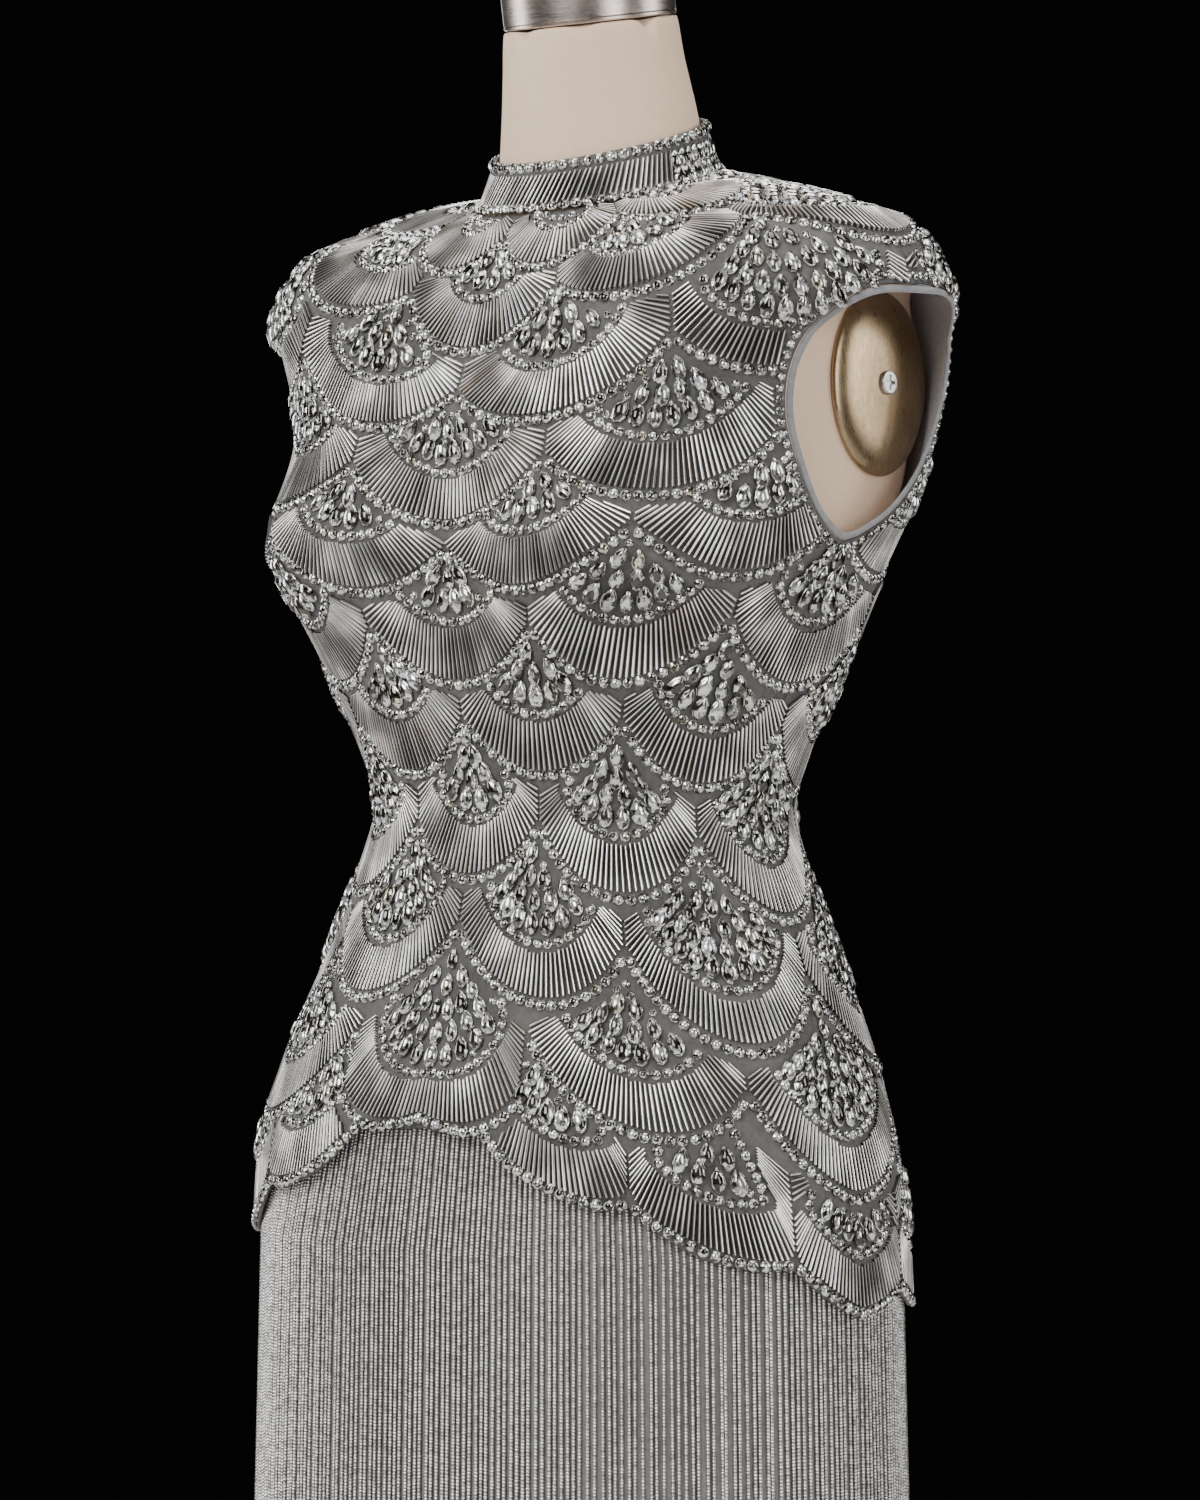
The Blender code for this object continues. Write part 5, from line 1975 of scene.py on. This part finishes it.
def turned_piece(
    name: str, profile: Sequence[tuple[float, float]], place: Matrix, steps: int = 96, sharp: float = 40
) -> Piece:
    """A solid of revolution from (radius, height) pairs that start and end on its axis.

    Args:
        name: the piece's name.
        profile: the pairs, foot to top.
        place: where it stands.
        steps: how many steps go round.
        sharp: the angle in degrees past which an edge is sharp.

    Returns:
        The new object.
    """
    bm = bmesh.new()
    verts = [bm.verts.new((radius, 0.0, height)) for radius, height in profile]
    edges = [bm.edges.new(pair) for pair in zip(verts, verts[1:])]
    bmesh.ops.spin(
        bm, geom=verts + edges, cent=(0, 0, 0), axis=(0, 0, 1), angle=TURN, steps=steps, use_merge=True
    )
    bmesh.ops.remove_doubles(bm, verts=bm.verts, dist=1e-6)
    bmesh.ops.recalc_face_normals(bm, faces=bm.faces)
    bmesh.ops.transform(bm, matrix=place, verts=bm.verts)
    made = store(name, bm)
    made.data.set_sharp_from_angle(angle=math.radians(sharp))
    return made


def rounded_top(radius: float, height: float, curve: float, steps: int = 8) -> list[tuple[float, float]]:
    """A turned profile with a flat foot and a rounded upper edge."""
    profile = [(0.0, 0.0), (radius - curve * 0.1, 0.0), (radius, curve * 0.1)]
    for k in range(steps + 1):
        turn = math.pi / 2 * k / steps
        profile.append((radius - curve * (1 - math.cos(turn)), height - curve * (1 - math.sin(turn))))
    return profile + [(0.0, height)]


@dataclass
class DressForm:
    """The linen torso, its neck cap, its arm plates and its stand.

    Attributes:
        cap_radius: the neck cap's radius.
        cap_height: its height.
        cap_round: the radius of its edge.
        cap_foot: heights of its foot at front and back, radius and centre.
        flat_side: how far out the flats for the arms are.
        plate_centre: an arm plate's depth and height.
        plate_half: half its depth and half its height.
        screw: its screw's radius.
        screw_high: the height of the screw's head.
        screw_round: the rounding of its rim.
        screw_seat: how far out on the plate it sits.
        recess_seat: how far out the middle of its cross recess is.
        foot: the stand's foot: radius, height and rounding.
        socket: the same for the pole's socket.
        socket_foot: the height at which the socket starts.
    """

    cap_radius: float = 0.0478
    cap_height: float = 0.030
    cap_round: float = 0.007
    cap_foot: tuple[float, float, float, float] = (1.4580, 1.4744, 0.0484, 0.0088)
    flat_side: float = 0.166
    plate_centre: tuple[float, float] = (0.050, 1.263)
    plate_half: tuple[float, float] = (0.041, 0.050)
    screw: float = 0.0065
    screw_high: float = 0.0032
    screw_round: float = 0.0009
    screw_seat: float = 0.0060
    recess_seat: float = 0.0107
    foot: tuple[float, float, float] = (0.230, 0.022, 0.010)
    socket: tuple[float, float, float] = (0.030, 0.060, 0.004)
    socket_foot: float = 0.0223

    def build(self, finishes: Finishes) -> list[Piece]:
        """Makes the form's pieces."""
        torso = merged_copy("form_torso", "linen_torso")
        smooth = torso.modifiers.new("smooth", "SUBSURF")
        smooth.levels = 2
        smooth.render_levels = 2
        finishes.dress(torso, "linen", "form_linen")
        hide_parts("form_torso")
        made = [torso, self._cap(finishes)]
        for name, mirror in (("left", 1), ("right", -1)):
            made += self._plate(name, mirror, finishes)
        finishes.dress(frame["nodes"]["stand_pole"], "brushed_steel", "pole_steel")
        made += self._stand(finishes)
        return made

    def _cap(self, finishes: Finishes) -> Piece:
        """The steel cap on the neck, with a fine groove above its foot."""
        front, back, radius, centre = self.cap_foot
        tilt = math.atan((back - front) / (2 * radius))
        foot = (front + back) / 2 + 0.0003
        place = Matrix.Translation((0.0, centre, foot)) @ Matrix.Rotation(tilt, 4, "X")
        profile = rounded_top(self.cap_radius, self.cap_height, self.cap_round)
        groove = [(self.cap_radius, 0.0020), (self.cap_radius - 0.0006, 0.0024), (self.cap_radius, 0.0028)]
        cap = turned_piece("steel_neck_cap", profile[:3] + groove + profile[3:], place)
        finishes.dress(cap, "brushed_steel", "brushed_steel")
        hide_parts("form_neck_cap")
        return cap

    def _plate(self, name: str, mirror: int, finishes: Finishes) -> list[Piece]:
        """One dished arm plate and its cross-head screw."""
        depth, height = self.plate_centre
        outwards = Matrix.Rotation(mirror * math.pi / 2, 4, "Y")
        base = Matrix.Translation((mirror * (self.flat_side + 0.0003), depth, height)) @ outwards
        oval = base @ Matrix.Diagonal((self.plate_half[1], self.plate_half[0], 1.0, 1.0))
        profile = [(0.0, 0.0), (0.975, 0.0), (1.0, 0.0006), (1.0, 0.0014), (0.985, 0.0024), (0.955, 0.0033)]
        profile += [(0.90, 0.0044), (0.82, 0.0054), (0.70, 0.0062), (0.55, 0.0067)]
        profile += [(0.36, 0.0070), (0.0, 0.0070)]
        plate = turned_piece("brass_arm_plate_" + name, profile, oval, 96, 50)
        finishes.dress(plate, "satin_brass", "satin_brass")
        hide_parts("arm_plate_" + name)
        bm = bmesh.new()
        bmesh.ops.create_circle(bm, cap_ends=True, segments=32, radius=self.screw)
        grown = bmesh.ops.extrude_face_region(bm, geom=bm.faces[:])
        top = [piece for piece in grown["geom"] if isinstance(piece, bmesh.types.BMVert)]
        bmesh.ops.translate(bm, vec=(0, 0, self.screw_high), verts=top)
        bmesh.ops.recalc_face_normals(bm, faces=bm.faces)
        rim = [edge for edge in bm.edges if all(vert.co.z > 0.003 for vert in edge.verts)]
        bmesh.ops.bevel(
            bm, geom=rim, offset=self.screw_round, affect="EDGES", segments=3, profile=0.5, material=-1
        )
        bmesh.ops.transform(bm, matrix=base @ Matrix.Translation((0, 0, self.screw_seat)), verts=bm.verts)
        bmesh.ops.recalc_face_normals(bm, faces=bm.faces)
        head = store("arm_screw_" + name, bm, smooth=False)
        cutters = self._cross(base @ Matrix.Translation((0, 0, self.recess_seat)))
        for cutter in cutters:
            cut = head.modifiers.new(cutter.name, "BOOLEAN")
            cut.operation = "DIFFERENCE"
            cut.solver = "EXACT"
            cut.object = cutter
        bpy.context.view_layer.update()
        graph = bpy.context.evaluated_depsgraph_get()
        finished = bpy.data.meshes.new_from_object(head.evaluated_get(graph))
        head.modifiers.clear()
        head.data = finished
        for cutter in cutters:
            bpy.data.objects.remove(cutter)
        finishes.dress(head, "brushed_steel", "screw_steel")
        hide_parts("plate_screw_" + name)
        return [plate, head]

    def _cross(self, place: Matrix) -> list[Piece]:
        """The two bars that cut the screw's cross recess."""
        bars = []
        sizes = {"bar_along": (0.0082, 0.0020, 0.0060), "bar_across": (0.0020, 0.0082, 0.0062)}
        for name, (wide, deep, tall) in sizes.items():
            bm = bmesh.new()
            bmesh.ops.create_cube(bm, size=1.0, matrix=place @ Matrix.Diagonal((wide, deep, tall, 1.0)))
            bars.append(store(name, bm, smooth=False))
        return bars

    def _stand(self, finishes: Finishes) -> list[Piece]:
        """The round foot and its socket."""
        base = turned_piece("round_foot", rounded_top(*self.foot), Matrix.Identity(4), 128)
        finishes.dress(base, "stand_paint", "stand_black")
        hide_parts("stand_base")
        place = Matrix.Translation((0, 0, self.socket_foot))
        socket = turned_piece("pole_socket", rounded_top(*self.socket), place, 64)
        finishes.dress(socket, "stand_paint", "stand_black")
        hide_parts("stand_socket")
        return [base, socket]


# Floor, lights and camera

# Soft boxes: name, place, width and height, power
LIGHTS = (
    ("key", (0.4, -3.0, 2.6), (1.6, 2.0), 95.0),
    ("fill", (3.2, -1.0, 1.6), (1.2, 2.2), 42.0),
    ("left_edge", (-2.6, -1.2, 1.7), (0.9, 2.2), 45.0),
    ("overhead", (0.2, -0.2, 3.4), (1.8, 1.8), 40.0),
    ("behind_left", (-2.0, 2.2, 2.0), (1.2, 2.0), 35.0),
    ("behind_right", (2.4, 2.0, 2.0), (1.2, 2.0), 35.0),
)


@dataclass
class Studio:
    """A pale floor, soft lights and the camera.

    Attributes:
        azimuth: the camera's angle from straight in front, towards the dress's left.
        distance: how far away it stands.
        level: the height of the camera.
        tall: the height of what it sees at the dress's axis.
        shift: how far the frame is shifted, in shares of the frame's height.
        floor_radius: the floor's radius.
        aim: the height that the lights point at.
        sensor: the sensor's height in millimetres.
    """

    azimuth: float = math.radians(40)
    distance: float = 3.0
    level: float = 1.082
    tall: float = 0.825
    shift: tuple[float, float] = (0.01333, -0.02)
    floor_radius: float = 3.2
    aim: float = 1.05
    sensor: float = 36.0

    def build(self) -> None:
        """Makes the floor, the lights, the surroundings and the camera."""
        bm = bmesh.new()
        bmesh.ops.create_circle(bm, cap_ends=True, segments=96, radius=self.floor_radius)
        floor = store("studio_floor", bm)
        material, bench, shader = start_material("floor_paint")
        stops = ((0.3, (0.70, 0.69, 0.68)), (0.7, (0.76, 0.75, 0.74)))
        colour = bench.ramp(bench.noise(bench.place(), 3.0, 4.0), stops)
        bench.fill(shader, {"Base Color": colour, "Roughness": 0.8})
        floor.data.materials.append(material)
        for name, at, size, power in LIGHTS:
            self._light(name, at, size, power)
        world = bpy.data.worlds.new("studio")
        world.use_nodes = True
        back = world.node_tree.nodes["Background"]
        back.inputs["Color"].default_value = (0.0022, 0.0022, 0.0024, 1)
        back.inputs["Strength"].default_value = 1.0
        bpy.context.scene.world = world
        self._camera()

    def _light(self, name: str, at: Sequence[float], size: Sequence[float], power: float) -> None:
        """A soft box aimed at the dress."""
        lamp = bpy.data.lights.new(name, "AREA")
        lamp.shape = "RECTANGLE"
        lamp.size, lamp.size_y = size
        lamp.energy = power
        made = bpy.data.objects.new(name, lamp)
        made.location = at
        aim = Vector((0, 0, self.aim)) - Vector(at)
        made.rotation_euler = aim.to_track_quat("-Z", "Y").to_euler()
        bpy.context.scene.collection.objects.link(made)

    def _camera(self) -> None:
        """The camera at the photograph's viewing angle."""
        lens = bpy.data.cameras.new("camera")
        lens.sensor_fit = "VERTICAL"
        lens.sensor_height = self.sensor
        lens.lens = self.sensor * self.distance / self.tall
        lens.shift_x, lens.shift_y = self.shift
        made = bpy.data.objects.new("camera", lens)
        made.location = (
            self.distance * math.sin(self.azimuth),
            -self.distance * math.cos(self.azimuth),
            self.level,
        )
        made.rotation_euler = (math.pi / 2, 0.0, self.azimuth)
        bpy.context.scene.collection.objects.link(made)
        bpy.context.scene.camera = made


def main() -> None:
    logging.basicConfig(level=logging.INFO, format="%(message)s")
    finishes = Finishes()
    shape = TorsoShape()
    armholes = Armholes(shape)
    tunic = Tunic(shape, armholes)
    made = list(tunic.build(finishes).values())
    made += FanBeading(shape, armholes, tunic).build(finishes)
    made += Collar().build(finishes)
    made += ArmholeEdges(shape, armholes).build(finishes)
    made += Skirt(shape).build(finishes)
    made += DressForm().build(finishes)
    Studio().build()
    for piece in made:
        LOG.info("%s: %d faces", piece.name, len(piece.data.polygons))


if __name__ == "__main__":
    main()
